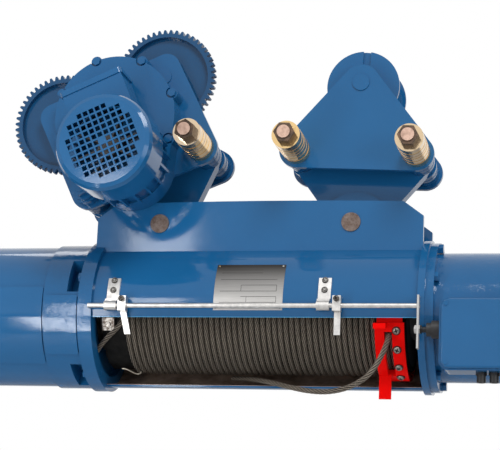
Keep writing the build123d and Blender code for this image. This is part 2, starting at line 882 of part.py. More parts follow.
def rope_loop():
    path = rounded_route(loop_route)
    start = Plane(origin=path @ 0, z_dir=path % 0)
    tube = sweep(start * Circle(rope_d / 2), path)
    print("loop length", round(path.length, 1), "volume ratio",
          round(tube.volume / (math.pi * rope_d ** 2 / 4 * path.length), 4))
    return tube


# Limit rod

def rod_brackets():
    pieces = []
    for x in bracket_places:
        x0, x1 = x - bracket_w / 2, x + bracket_w / 2
        strap = along_x(sector(shell_r + seat_gap, shell_r + strap_t, *strap_angles), x0, x1)
        arm_top = limit_rod_z + sleeve_r + strap_t
        arm = block(x0, x1, limit_y, -shell_r + 1, limit_rod_z + sleeve_r - 2, arm_top)
        arm -= rod_x(shell_r + seat_gap, x0 - 1, x1 + 1)
        sleeve = rod_x(sleeve_r, x0, x1, limit_y, limit_rod_z)
        whole = strap + arm + sleeve - rod_x(limit_rod_r + rod_fit, x0 - 1, x1 + 1, limit_y, limit_rod_z)
        for angle in bracket_screw_angles:
            whole -= radial_rod(bracket_screw_r + seat_gap, 20, x, shell_r, angle)
        pieces.append(whole)
    return pieces


def limit_rod():
    return rod_x(limit_rod_r, limit_rod_left, limit_rod_right, limit_y, limit_rod_z)


def rod_stops():
    """Clamp blocks on the rod, each with a finger that the guide's lug can push."""
    pieces = []
    for x, lean in zip(stop_places, stop_leans):
        x0, x1 = x - stop_w / 2, x + stop_w / 2
        body = block(x0, x1, limit_y - stop_front, limit_y + stop_back, limit_rod_z - stop_down,
                     limit_rod_z + stop_up)
        left, right, root = x0 + finger_inset, x1 - finger_inset, limit_rod_z - stop_down + 1
        outline = Polyline((left, root), (right, root), (right + lean, finger_tip_z),
                           (left + lean, finger_tip_z),
                           close=True)
        finger = across_y(make_face(outline), limit_y + stop_back - finger_t, limit_y + stop_back)
        whole = body + finger - rod_x(limit_rod_r + seat_gap, x0 - 1, x1 + 1, limit_y, limit_rod_z)
        pieces.append(whole)
        pieces.append(rod_y(stop_screw_r, limit_y - stop_front - stop_screw_l, limit_y - stop_front, x,
                            limit_rod_z + stop_down))
    return pieces


def switch_plunger():
    x0 = limit_rod_right - 2
    x1 = x0 + end_plate_t
    plate = block(x0, x1, limit_y - end_plate_front, -ring_r - 1, *end_plate_z)
    plate -= rod_x(limit_rod_r + seat_gap, x0 - 1, x1 + 1, limit_y, limit_rod_z)
    plate -= rod_x(plunger_r + seat_gap, x0 - 1, x1 + 1, limit_y, plunger_z)
    plunger = rod_x(plunger_r, x0 - plunger_nut_t - 1, box_left + plunger_reach, limit_y, plunger_z)
    nuts = []
    for left, right in ((x0 - plunger_nut_t, x0), (x1, x1 + plunger_nut_t)):
        nut = along_x(hexagon(plunger_nut, limit_y, plunger_z), left, right)
        nuts.append(nut - rod_x(plunger_r + seat_gap, left - 1, right + 1, limit_y, plunger_z))
    return [plate, plunger] + nuts


def limit_switch_body():
    bush = rod_x(bush_r, bush_left, bush_collar_left, limit_y, plunger_z)
    bush += rod_x(bush_collar_r, bush_collar_left, box_left, limit_y, plunger_z)
    return bush - rod_x(plunger_r + rod_fit, bush_left - 1, box_left + 1, limit_y, plunger_z)


# Control box

def rounded_block(x0, x1, y0, y1, z0, z1, corner):
    body = block(x0, x1, y0, y1, z0, z1)
    return fillet(body.edges().filter_by(Axis.Y), corner)


def control_box():
    x1 = box_left + box_length
    z0 = box_top - box_height
    body = rounded_block(box_left, x1, box_front, box_back, z0, box_top, box_corner)
    body -= rounded_block(box_left + box_wall, x1 - box_wall, box_front - 1, box_back - box_wall,
                          z0 + box_wall, box_top - box_wall, box_corner - box_wall)
    body -= rod_x(plunger_r + rod_fit + 0.4, box_left - 1, box_left + box_wall + 1, limit_y, plunger_z)
    for x in gland_places:
        body -= Pos(x, gland_y, z0) * Cylinder(gland_thread_r + seat_gap, 3 * box_wall)
    return body


def control_box_lid():
    x1 = box_left + box_length
    z0 = box_top - box_height
    lid = rounded_block(box_left + lid_inset, x1 - lid_inset, box_front - lid_t, box_front,
                        z0 + lid_inset, box_top - lid_inset, box_corner - lid_inset)
    lid = fillet(lid.faces().sort_by(Axis.Y)[0].edges(), lid_edge)
    for x, z in lid_screw_places:
        lid -= rod_y(lid_screw_r + seat_gap, box_front - lid_t - 1, box_front + 1, x, z)
    return lid


def cable_glands():
    pieces = []
    z0 = box_top - box_height
    for x in gland_places:
        thread = Pos(x, gland_y, z0 + box_wall / 2) * Cylinder(gland_thread_r, box_wall)
        flats = Plane.XY.offset(z0 - gland_nut_t) * Pos(x, gland_y) * RegularPolygon(gland_body_r, 6)
        nut = extrude(flats, gland_nut_t)
        cap_l = gland_cap_l - gland_nut_t
        cap = Pos(x, gland_y, z0 - gland_cap_l + cap_l / 2) * Cylinder(gland_body_r - 2, cap_l)
        bore = Pos(x, gland_y, z0) * Cylinder(gland_bore_r, 3 * gland_cap_l)
        pieces.append(thread + nut + cap - bore)
    return pieces


# Name plate and small fasteners

def name_plate():
    plate = along_x(sector(shell_r + seat_gap, shell_r + seat_gap + name_t, *name_angles), *name_x)
    for x, angle in rivet_places():
        plate -= radial_rod(rivet_r + seat_gap, 4 * rivet_l, x, shell_r + name_t, angle)
    return plate


def rivet_places():
    places = []
    for x in (name_x[0] + rivet_inset_x, name_x[1] - rivet_inset_x):
        for angle in (name_angles[0] - rivet_inset_angle, name_angles[1] + rivet_inset_angle):
            places.append((x, angle))
    return places


def frame_fasteners():
    pieces = []
    spans = ((motor_flange_left, sheet_left, -1, left_bolts), (sheet_right, gear_face, 1, right_bolts))
    for x0, x1, side, count in spans:
        for y, z in ring_bolt_places(count):
            bolt = rod_x(flange_bolt_r, x0 + 0.5 * (side > 0), x1 - 0.5 * (side < 0), y, z)
            head_x = (x0 - flange_head_t, x0) if side < 0 else (x1, x1 + flange_head_t)
            head = along_x(hexagon(flange_head, y, z), *head_x)
            pieces.append(bolt + (head - rod_x(gearbox_r + running_gap, gear_face, gear_face + 20)))
    for x in bracket_places:
        under = rod_x(shell_r + seat_gap, x - bracket_w, x + bracket_w)
        for angle in bracket_screw_angles:
            shank = radial_rod(bracket_screw_r, strap_t + 1, x, shell_r + 1.5, angle)
            head = radial_rod(bracket_head_r, bracket_head_t, x, shell_r + strap_t + bracket_head_t / 2,
                              angle)
            pieces.append((shank + head) - under)
    for x, angle in rivet_places():
        rivet = radial_rod(rivet_r, rivet_l, x, shell_r + name_t, angle)
        pieces.append(rivet - rod_x(shell_r + seat_gap, x - rivet_l, x + rivet_l))
    for x, z in lid_screw_places:
        shank = rod_y(lid_screw_r, box_front - lid_t, box_front, x, z)
        pieces.append(shank + rod_y(lid_head_r, box_front - lid_t - lid_head_t, box_front - lid_t, x, z))
    return pieces


# Bogies. Each is drawn upright with the suspension pin at (0, 0), then tilted and set on its pin.

def on_bogie(shape, tilt, x):
    return Pos(x, 0, pin_z) * Rot(0, tilt, 0) * shape


def wheel(side, x, teeth_phase=None):
    """A flanged wheel. With a phase it also carries a ring of gear teeth on its outer side."""

    def disc(radius, inner, outer):
        return rod_y(radius, *side_span(side, inner, outer), x, wheel_height)

    body = disc(tread_r, tread_inner, wheel_flange_in) + disc(flange_r, wheel_flange_in, gear_ring_in)
    outer_face = gear_ring_in
    if teeth_phase is None:
        body += disc(hub_r, gear_ring_in, bearing_out + hub_proud)
        dish = (tread_inner - 1, tread_inner + tread_rim)
        body -= disc(tread_r - tread_rim, *dish) - disc(hub_r, tread_inner - 2, dish[1])
        notch_x = x + notch_offset
        body -= block(notch_x - notch_half, notch_x + notch_half,
                      *side_span(side, gear_ring_in - notch_depth, gear_ring_in + 1),
                      wheel_height + hub_r, wheel_height + flange_r + 1)
    else:
        outline = Pos(x, wheel_height) * gear(wheel_gear_teeth, wheel_module, teeth_phase)
        body += across_y(outline, *side_span(side, gear_ring_in, gear_ring_out))
        outer_face = gear_ring_out
        dish = (gear_ring_out - web_recess, gear_ring_out + 1)
        body -= disc(gear_rim_r, *dish) - disc(hub_r, dish[0] - 1, dish[1])
        body -= disc(hub_r + 1, bearing_out + hub_proud, outer_face + 1)
    return body - disc(wheel_bore_r + seat_gap, tread_inner - 1, outer_face + 10)


def axle(side, x):
    """A stepped axle pin fixed in its side plate, with the two bearings that the wheel runs on."""

    def ring(radius, inner, outer):
        return tube_y(radius, axle_journal_r + seat_gap, *side_span(side, inner, outer), x, wheel_height)

    step = side_in - axle_step
    pin = rod_y(axle_r, *side_span(side, step, side_out + axle_proud), x, wheel_height)
    pin += rod_y(axle_journal_r, *side_span(side, tread_inner + 2, side_in), x, wheel_height)
    collar = ring(axle_journal_r + axle_collar_wall, bearing_out, step - seat_gap)
    first = tread_inner + wheel_bearing_in
    inner_bearing = ring(wheel_bore_r, first, first + wheel_bearing_w)
    outer_bearing = ring(wheel_bore_r, bearing_out - wheel_bearing_w, bearing_out)
    return [pin, collar, inner_bearing, outer_bearing]


def side_plate(outline, side, axle_xs, bolts, extra=()):
    for x in axle_xs:
        outline -= Pos(x, wheel_height) * Circle(axle_r + seat_gap)
    for x, z in bolts:
        outline -= Pos(x, z) * Circle(bolt_hole_r)
    for x, z, radius in extra:
        outline -= Pos(x, z) * Circle(radius)
    return across_y(outline, *side_span(side, side_in, side_out))


def link(bolts):
    outline = tangent_hull([(0, 0, link_pin_r)] + [(x, z, link_lug_r) for x, z in bolts])
    pads = outline & Circle(link_pad_r)
    body = across_y(outline, -link_t / 2, link_t / 2)
    body += across_y(pads, -link_t / 2 - link_pad_t, link_t / 2 + link_pad_t)
    body -= rod_y(pin_r + seat_gap, -link_t, link_t)
    for x, z in bolts:
        body -= rod_y(bolt_hole_r, -link_t, link_t, x, z)
    return body


def washer_stack(thicknesses, y, direction, x, z):
    pieces = []
    for index, thickness in enumerate(thicknesses):
        y0, y1 = sorted((y, y + direction * thickness))
        radius = washer_r - washer_step * (index % 2)
        pieces.append(tube_y(radius, bolt_hole_r, y0, y1, x, z))
        y += direction * thickness
    return pieces


def tie_bolt(x, z, front_reach):
    front_nut = -side_out - front_reach
    rear_nut = side_out + sum(rear_washers)
    shank = rod_y(bolt_r, front_nut - nut_t - bolt_proud, rear_nut + nut_t + bolt_proud, x, z)
    nuts = []
    for y0 in (front_nut - nut_t, rear_nut):
        nut = across_y(hexagon(nut_across, x, z), y0, y0 + nut_t)
        nuts.append(nut - rod_y(bolt_r + seat_gap, y0 - 1, y0 + nut_t + 1, x, z))
    return [shank] + nuts


def spacers(x, z, front_washers):
    pieces = washer_stack(front_washers, -side_out, -1, x, z)
    pieces += washer_stack(rear_washers, side_out, 1, x, z)
    for side in (front, rear):
        pieces += washer_stack(inner_washers, side * link_t / 2, side, x, z)
    return pieces


def corners_round(bolts, radius):
    return [(x, z, radius) for x, z in sorted(bolts)]


def idle_outline():
    return tangent_hull(corners_round(idle_bolts, idle_corner_r) + [(0, wheel_height, idle_apex_r)])


def drive_front_outline():
    tops = [(x, drive_top_up, drive_top_r) for x in (drive_top_half, -drive_top_half)]
    return tangent_hull(corners_round(drive_bolts, drive_corner_r) + tops)


def drive_rear_outline():
    return tangent_hull(corners_round(drive_bolts, drive_corner_r) + [(0, wheel_height, idle_apex_r)])


# Travel drive

pinion_distance = wheel_module * (wheel_gear_teeth + pinion_teeth) / 2
output_place = (0.0, wheel_height - math.sqrt(pinion_distance ** 2 - wheel_half ** 2))
first_distance = module_travel_first * (z_motor_pinion + z_travel_first) / 2
second_distance = module_travel * (z_travel_pinion + z_travel_output) / 2
span_x = output_place[0] - motor_seat[0]
span_z = output_place[1] - motor_seat[1]
span_length = math.hypot(span_x, span_z)
foot = (first_distance ** 2 - second_distance ** 2 + span_length ** 2) / (2 * span_length)
offset = math.sqrt(first_distance ** 2 - foot ** 2)
counter_place = (motor_seat[0] + (foot * span_x + offset * span_z) / span_length,
                 motor_seat[1] + (foot * span_z - offset * span_x) / span_length)
phase_pinion = 0.0
place_right = (wheel_half, wheel_height)
place_left = (-wheel_half, wheel_height)
phase_wheel_right = meshed_phase(output_place, pinion_teeth, phase_pinion, place_right, wheel_gear_teeth)
phase_wheel_left = meshed_phase(output_place, pinion_teeth, phase_pinion, place_left, wheel_gear_teeth)
phase_travel_output = 0.0
phase_travel_pinion = meshed_phase(output_place, z_travel_output, phase_travel_output, counter_place,
                                   z_travel_pinion)
phase_travel_first = 0.0
phase_motor_pinion = meshed_phase(counter_place, z_travel_first, phase_travel_first, motor_seat,
                                  z_motor_pinion)


def reducer_outline(inset):
    low = (*motor_seat, motor_seat_r - inset)
    return tangent_hull([low, (0, reducer_up, reducer_r - inset)])


def gear_across(teeth, module, phase, place, span):
    return across_y(Pos(*place) * gear(teeth, module, phase), span[0], span[1])


def reducer_bolt_places():
    places = []
    for index in range(reducer_bolt_count):
        turn = math.radians(reducer_bolt_turn + 360.0 * index / reducer_bolt_count)
        x = reducer_r * math.cos(turn)
        z = reducer_up + reducer_r * math.sin(turn)
        if math.hypot(x - motor_seat[0], z - motor_seat[1]) > motor_seat_r + reducer_boss_r:
            places.append((x, z))
    return places


def travel_gearbox():
    body = across_y(reducer_outline(0), reducer_front, -side_out)
    for x, z in reducer_bolt_places():
        body += rod_y(reducer_boss_r, reducer_front + reducer_spot, -side_out, x, z)
        body -= rod_y(reducer_boss_r, reducer_front - 1, reducer_front + reducer_spot, x, z)
    inside = reducer_front + reducer_wall
    body -= across_y(reducer_outline(reducer_wall), inside, -side_out + 1)
    body += rod_y(travel_shaft_r + travel_boss_wall, inside, travel_second_y[0] - 1, *output_place)
    body += rod_y(travel_small_r + travel_small_wall, inside, travel_second_y[0] - 1, *counter_place)
    for radius, place in ((travel_shaft_r, output_place), (travel_small_r, counter_place)):
        body -= rod_y(radius + seat_gap, reducer_front + socket_floor, travel_second_y[0], *place)
    body -= rod_y(travel_small_r + 2, reducer_front - 1, inside + 1, *motor_seat)
    for x, z in reducer_bolt_places():
        body -= rod_y(reducer_bolt_r + seat_gap, reducer_front, -side_out + 1, x, z)
    for x in (-wheel_half, wheel_half):
        body -= rod_y(axle_r + 2, -side_out - axle_proud - 1, -side_out + 1, x, wheel_height)
    far = drive_bolts[1]
    body += rod_y(boss_r, -side_out - boss_step, -side_out, *far)
    body += rod_y(boss_tip_r, -side_out - boss_reach, -side_out, *far)
    body -= rod_y(nut_room_r, reducer_front - 1, -side_out - boss_reach, *far)
    return body - rod_y(bolt_hole_r, -side_out - boss_reach - 1, -side_out + 1, *far)


def travel_gearbox_bolts():
    bolts = []
    for x, z in reducer_bolt_places():
        seat = reducer_front + reducer_spot
        shank = rod_y(reducer_bolt_r, seat, -side_out, x, z)
        head = across_y(hexagon(reducer_bolt_head, x, z), reducer_front - 1, seat)
        bolts.append(shank + head)
    return bolts


def travel_motor_housing():
    x, z = motor_seat
    body = rod_y(travel_body_r, travel_motor_front, reducer_front, x, z)
    ribs = []
    for index in range(travel_rib_count):
        turn = 360.0 * index / travel_rib_count
        rib = block(travel_body_r - 4, travel_rib_r, travel_motor_front + fan_lap, reducer_front - 10,
                    -travel_rib_w / 2, travel_rib_w / 2)
        ribs.append(Pos(x, 0, z) * Rot(0, turn, 0) * rib)
    body += ribs
    body += rod_y(motor_seat_r, reducer_front - 8, reducer_front, x, z)
    body -= rod_y(travel_rotor_r + air_gap, travel_motor_front + 8, reducer_front - 10, x, z)
    body -= rod_y(travel_small_r + seat_gap, travel_motor_front - 1, reducer_front + 1, x, z)
    return body


def travel_fan_cover():
    x, z = motor_seat
    back = travel_motor_front + fan_lap
    bend = fan_round * 0.3
    inner_r = fan_cover_r - fan_sheet
    profile = [
        (fan_cover_r, back),
        (fan_cover_r, fan_front + fan_round),
        (fan_cover_r - bend, fan_front + bend),
        (fan_ring_r - 5, fan_front),
        (0, fan_front),
        (0, fan_front + fan_sheet),
        (fan_ring_r - 6, fan_front + fan_sheet),
        (inner_r - bend + 0.3, fan_front + bend + 2),
        (inner_r, fan_front + fan_round + 1),
        (inner_r, back),
    ]
    shell = revolve(make_face(Polyline(*profile, close=True)), Axis.Y)
    holes = []
    steps = int(grille_r // grille_pitch) + 1
    hole = block(-grille_hole / 2, grille_hole / 2, fan_front - 1, fan_front + fan_sheet + 1,
                 -grille_hole / 2, grille_hole / 2)
    for column in range(-steps, steps + 1):
        for row in range(-steps, steps + 1):
            a, b = column * grille_pitch, row * grille_pitch
            if grille_pitch * 0.8 < math.hypot(a, b) < grille_r - 3:
                holes.append(Pos(a, 0, b) * hole)
    shell -= holes
    return Pos(x, 0, z) * shell


def travel_terminal_box():
    left, right = terminal_wall_x
    near, far = terminal_y
    bottom, top = terminal_z
    rim = top - terminal_lid_t
    over = terminal_lid_over
    x, z = motor_seat
    box = block(left, right, near, far, bottom, rim)
    lid = block(left - over, right + over, near - over, far + over, rim, top)
    lid = fillet(lid.edges().filter_by(Axis.Z), terminal_lid_corner)
    box += block(x - terminal_neck_half, x + terminal_neck_half,
                 near + terminal_neck_in, far - terminal_neck_in,
                 z + terminal_neck_low, bottom)
    box -= rod_y(travel_rib_r + seat_gap, near - 5, far + 5, x, z)
    return [box, lid]


def travel_rotor():
    x, z = motor_seat
    fan_y = travel_motor_front - travel_fan_room
    fan_end = fan_y + travel_fan_w
    shaft = rod_y(travel_small_r, fan_y - 2, travel_first_y[0], x, z)
    shaft += rod_y(travel_rotor_r, travel_motor_front + 12, reducer_front - 16, x, z)
    shaft += gear_across(z_motor_pinion, module_travel_first, phase_motor_pinion, motor_seat, travel_first_y)
    fan = rod_y(travel_fan_hub_r, fan_y, fan_end)
    for index in range(travel_fan_blades):
        blade = block(travel_fan_hub_r - 4, travel_fan_r, fan_y, fan_end, -1.5, 1.5)
        fan += Rot(0, 360.0 * index / travel_fan_blades, 0) * blade
    fan = Pos(x, 0, z) * fan - rod_y(travel_small_r + seat_gap, fan_y - 3, travel_motor_front, x, z)
    return [shaft, fan]


def travel_countershaft():
    shaft = rod_y(travel_small_r, reducer_front + socket_floor + 0.5, -side_out - 1, *counter_place)
    big = gear_across(z_travel_first, module_travel_first, phase_travel_first, counter_place, travel_first_y)
    pinion = gear_across(z_travel_pinion, module_travel, phase_travel_pinion, counter_place, travel_second_y)
    return shaft + big + pinion


def travel_output_shaft():
    shaft = rod_y(travel_shaft_r, reducer_front + socket_floor + 0.5, -gear_ring_in, *output_place)
    big = gear_across(z_travel_output, module_travel, phase_travel_output, output_place, travel_second_y)
    ring_span = (-gear_ring_out, -gear_ring_in)
    pinion = gear_across(pinion_teeth, wheel_module, phase_pinion, output_place, ring_span)
    return shaft + big + pinion


def save_on_bogie(name, pieces, tilt, x):
    save(name, [on_bogie(piece, tilt, x) for piece in pieces])


def build_root():
    save("drum_shell", [drum_shell()])
    save("shell_rings", shell_rings())
    save("front_lifting_plate", [lifting_plate(front)])
    save("rear_lifting_plate", [lifting_plate(rear)])
    save("suspension_pins", suspension_pins())
    save("pin_keepers", pin_keepers())
    save("motor_end_shield", [motor_end_shield()])
    save("motor_housing", [motor_housing()])
    save("motor_brake_cover", [motor_brake_cover()])
    save("motor_stator", motor_stator())
    save("frame_fasteners", frame_fasteners())
    save("gearbox_housing", [gearbox_housing()])
    save("gearbox_cover", [gearbox_cover()])
    save("control_box", [control_box()])
    save("control_box_lid", [control_box_lid()])
    save("cable_glands", cable_glands())
    save("main_bearings", main_bearings())
    save("rod_brackets", rod_brackets())
    save("name_plate", [name_plate()])
    save("limit_switch_body", [limit_switch_body()])


def build_drum_and_drive():
    save("drum_barrel", [drum_barrel()])
    save("drum_hubs", drum_hubs())
    save("wound_rope", [wound_rope()])
    save("rope_clamps", rope_clamps())
    save("output_gear", [output_gear()])
    save("motor_rotor", motor_rotor())
    save("drive_shaft", drive_shaft())
    save("countershaft_a", [countershaft_a()])
    save("countershaft_b", [countershaft_b()])


def build_guide_and_rod():
    save("guide_ring", [guide_ring()])
    save("guide_plate", [guide_plate()])
    save("guide_screws", guide_screws())
    save("rope_loop", [rope_loop()])
    save("limit_rod", [limit_rod()])
    save("rod_stops", rod_stops())
    save("switch_plunger", switch_plunger())


def build_drive_bogie():
    place = (drive_tilt, -pin_x)
    near, far = drive_bolts
    pinion_hole = (*output_place, wheel_module * (pinion_teeth / 2 + 1) + 1)
    wheel_xs = (-wheel_half, wheel_half)
    front_plate = side_plate(drive_front_outline(), front, wheel_xs, drive_bolts, [pinion_hole])
    save_on_bogie("drive_front_plate", [front_plate], *place)
    save_on_bogie("drive_rear_plate", [side_plate(drive_rear_outline(), rear, (0,), drive_bolts)], *place)
    save_on_bogie("drive_link", [link(drive_bolts)], *place)
    save_on_bogie("drive_tie_bolts", tie_bolt(*near, sum(outer_washers)) + tie_bolt(*far, boss_reach), *place)
    save_on_bogie("drive_spacers", spacers(*near, outer_washers) + spacers(*far, ()), *place)
    axles = axle(front, wheel_half) + axle(front, -wheel_half) + axle(rear, 0)
    save_on_bogie("drive_axles", axles, *place)
    save_on_bogie("travel_gearbox", [travel_gearbox()], *place)
    save_on_bogie("travel_gearbox_bolts", travel_gearbox_bolts(), *place)
    save_on_bogie("travel_motor_housing", [travel_motor_housing()], *place)
    save_on_bogie("travel_fan_cover", [travel_fan_cover()], *place)
    save_on_bogie("travel_terminal_box", travel_terminal_box(), *place)
    save_on_bogie("drive_wheel_right", [wheel(front, wheel_half, phase_wheel_right)], *place)
    save_on_bogie("drive_wheel_left", [wheel(front, -wheel_half, phase_wheel_left)], *place)
    save_on_bogie("drive_rear_wheel", [wheel(rear, 0)], *place)
    save_on_bogie("travel_rotor", travel_rotor(), *place)
    save_on_bogie("travel_countershaft", [travel_countershaft()], *place)
    save_on_bogie("travel_output_shaft", [travel_output_shaft()], *place)


def build_idle_bogie():
    place = (idle_tilt, pin_x)
    plates = [side_plate(idle_outline(), side, (0,), idle_bolts) for side in (front, rear)]
    save_on_bogie("idle_side_plates", plates, *place)
    save_on_bogie("idle_link", [link(idle_bolts)], *place)
    bolts = [piece for x, z in idle_bolts for piece in tie_bolt(x, z, sum(outer_washers))]
    washers = [piece for x, z in idle_bolts for piece in spacers(x, z, outer_washers)]
    save_on_bogie("idle_tie_bolts", bolts, *place)
    save_on_bogie("idle_spacers", washers, *place)
    save_on_bogie("idle_axles", axle(front, 0) + axle(rear, 0), *place)
    save_on_bogie("idle_wheel_front", [wheel(front, 0)], *place)
    save_on_bogie("idle_wheel_rear", [wheel(rear, 0)], *place)


build_root()
build_drum_and_drive()
build_guide_and_rod()
build_drive_bogie()
build_idle_bogie()
print("rail height over the drum axis", rail_height)
print("drum gears", place_a, place_b)
print("travel gears", output_place, counter_place)
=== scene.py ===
import math

import bpy
import numpy as np
from mathutils import Matrix, Vector


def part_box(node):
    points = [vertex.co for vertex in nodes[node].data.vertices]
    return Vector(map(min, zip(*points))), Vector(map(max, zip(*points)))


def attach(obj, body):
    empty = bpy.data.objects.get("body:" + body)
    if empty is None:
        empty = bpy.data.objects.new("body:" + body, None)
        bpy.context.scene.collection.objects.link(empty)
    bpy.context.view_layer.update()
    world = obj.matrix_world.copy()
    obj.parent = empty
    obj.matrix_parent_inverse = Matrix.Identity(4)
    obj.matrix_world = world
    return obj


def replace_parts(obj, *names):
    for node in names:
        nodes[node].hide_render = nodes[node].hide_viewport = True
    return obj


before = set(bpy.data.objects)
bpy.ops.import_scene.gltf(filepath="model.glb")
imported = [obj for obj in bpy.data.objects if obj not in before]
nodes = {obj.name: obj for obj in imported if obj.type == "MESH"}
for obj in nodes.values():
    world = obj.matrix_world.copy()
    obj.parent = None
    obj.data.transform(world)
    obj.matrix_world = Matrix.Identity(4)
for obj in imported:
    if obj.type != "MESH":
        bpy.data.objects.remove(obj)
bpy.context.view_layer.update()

# An electric wire rope hoist on two monorail bogies. Lengths are in millimetres in the drum's own
# frame (x along the drum, z = 0 on its axis, the viewer on -Y), and mm() brings them to the frame.

shell_low, shell_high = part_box("drum_shell")
DRUM_Z = (shell_low.z + shell_high.z) / 2

ROPE_D = 11.0
GROOVE_PITCH = 12.0
ROPE_TURNS = 47
BARREL_R = 111.0
ROPE_LEFT = -250.0
STRANDS = 6
WIRES_ROUND = 3.0
ROPE_LAY = 70.0
SHELL_R = 152.0
SHELL_SHEET = 5.0
WINDOW_TOP = 10.0


def mm(x, y, z):
    """A place in the drum's frame, in millimetres, as a place in the row's frame."""
    return Vector((x / 1000, y / 1000, z / 1000 + DRUM_Z))


def on_drum(x, degrees, radius):
    """A place at a radius from the drum's axis, at an angle below the horizontal on the viewer's side."""
    turn = math.radians(degrees)
    return mm(x, -radius * math.cos(turn), -radius * math.sin(turn))


def link_object(name, data):
    thing = bpy.data.objects.new(name, data)
    bpy.context.scene.collection.objects.link(thing)
    return thing


def new_piece(name, vertices, faces, smooth=False):
    mesh = bpy.data.meshes.new(name)
    mesh.from_pydata(vertices, [], faces)
    for polygon in mesh.polygons:
        polygon.use_smooth = smooth
    return link_object(name, mesh)


def finish_piece(piece, material, body):
    piece.data.materials.append(material)
    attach(piece, body)
    return piece


# Camera

CAMERA_AZIMUTH = math.radians(12.71)
CAMERA_ELEVATION = math.radians(-12.9)
CAMERA_ROLL = math.radians(2.39)
CAMERA_DISTANCE = 3860.0
CAMERA_TARGET = mm(-28.3, 0.0, 201.5)
FOCAL_PIXELS = 1800.0
FRAME_PIXELS = 500.0
SENSOR = 36.0


def add_camera():
    cos_up = math.cos(CAMERA_ELEVATION)
    back = Vector((math.sin(CAMERA_AZIMUTH) * cos_up, -math.cos(CAMERA_AZIMUTH) * cos_up,
                   math.sin(CAMERA_ELEVATION)))
    right = (-back).cross(Vector((0, 0, 1))).normalized()
    up = right.cross(-back)
    cos_roll, sin_roll = math.cos(CAMERA_ROLL), math.sin(CAMERA_ROLL)
    rolled_right = cos_roll * right + sin_roll * up
    rolled_up = cos_roll * up - sin_roll * right
    place = CAMERA_TARGET + back * CAMERA_DISTANCE / 1000
    data = bpy.data.cameras.new("camera")
    data.sensor_width = SENSOR
    data.lens = FOCAL_PIXELS * SENSOR / FRAME_PIXELS
    data.clip_end = 50.0
    camera = link_object("camera", data)
    turn = Matrix((rolled_right, rolled_up, back)).transposed().to_4x4()
    camera.matrix_world = Matrix.Translation(place) @ turn
    bpy.context.scene.camera = camera


# Lights, floor and background

FLOOR_Z = -1.6
FLOOR_REACH = 12.0
WORLD_LIGHT = 0.34
OBJECT_MIDDLE = (-0.1, 0, -0.25)

# (name, place, the place it faces, width and height, watts), in metres
LAMPS = [
    ("key", (1.0, -2.6, 2.1), OBJECT_MIDDLE, (1.3, 1.1), 60),
    ("fill_right", (2.6, -2.6, -0.2), OBJECT_MIDDLE, (1.8, 1.2), 20),
    ("top", (-0.95, 1.2, 2.4), OBJECT_MIDDLE, (1.1, 1.0), 13),
    ("strip_low", (-0.95, -1.7, -1.08), (-0.95, 0, -1.08), (0.18, 0.7), 7.5),
    ("strip_high", (-0.83, -1.7, -0.42), (-0.83, 0, -0.42), (0.14, 0.5), 3.0),
    ("strip_band", (-0.65, -1.7, 0.06), (-0.65, 0, 0.06), (0.2, 0.24), 1.5),
]


def add_lamp(name, place, target, size, power):
    data = bpy.data.lights.new(name, "AREA")
    data.shape = "RECTANGLE"
    data.size, data.size_y = size
    data.energy = power
    aim = (Vector(target) - Vector(place)).to_track_quat("-Z", "Y")
    link_object(name, data).matrix_world = Matrix.Translation(place) @ aim.to_matrix().to_4x4()


def seen_directly(tree):
    """1 on rays from the camera and on those that a shiny or clear surface sends on, else 0."""
    path = tree.nodes.new("ShaderNodeLightPath")
    total = path.outputs["Is Camera Ray"]
    for name in ("Is Glossy Ray", "Is Transmission Ray"):
        add = tree.nodes.new("ShaderNodeMath")
        add.operation = "MAXIMUM"
        tree.links.new(total, add.inputs[0])
        tree.links.new(path.outputs[name], add.inputs[1])
        total = add.outputs[0]
    return total


def add_surroundings():
    world = bpy.data.worlds.new("studio")
    bpy.context.scene.world = world
    world.use_nodes = True
    tree = world.node_tree
    background = tree.nodes["Background"]
    background.inputs["Color"].default_value = (1, 1, 1, 1)
    strength = tree.nodes.new("ShaderNodeMapRange")
    strength.inputs["To Min"].default_value = WORLD_LIGHT
    strength.inputs["To Max"].default_value = 1.0
    tree.links.new(seen_directly(tree), strength.inputs["Value"])
    tree.links.new(strength.outputs["Result"], background.inputs["Strength"])

    corners = [(-FLOOR_REACH, -FLOOR_REACH, FLOOR_Z), (FLOOR_REACH, -FLOOR_REACH, FLOOR_Z),
               (FLOOR_REACH, FLOOR_REACH, FLOOR_Z), (-FLOOR_REACH, FLOOR_REACH, FLOOR_Z)]
    floor = new_piece("floor", corners, [(0, 1, 2, 3)])
    material = bpy.data.materials.new("floor")
    material.use_nodes = True
    shader = material.node_tree.nodes["Principled BSDF"]
    shader.inputs["Base Color"].default_value = (0.82, 0.82, 0.82, 1)
    shader.inputs["Roughness"].default_value = 0.9
    floor.data.materials.append(material)

    for lamp in LAMPS:
        add_lamp(*lamp)
    bpy.context.scene.view_settings.view_transform = "Standard"


# Materials: one procedural finish each, from small node helpers

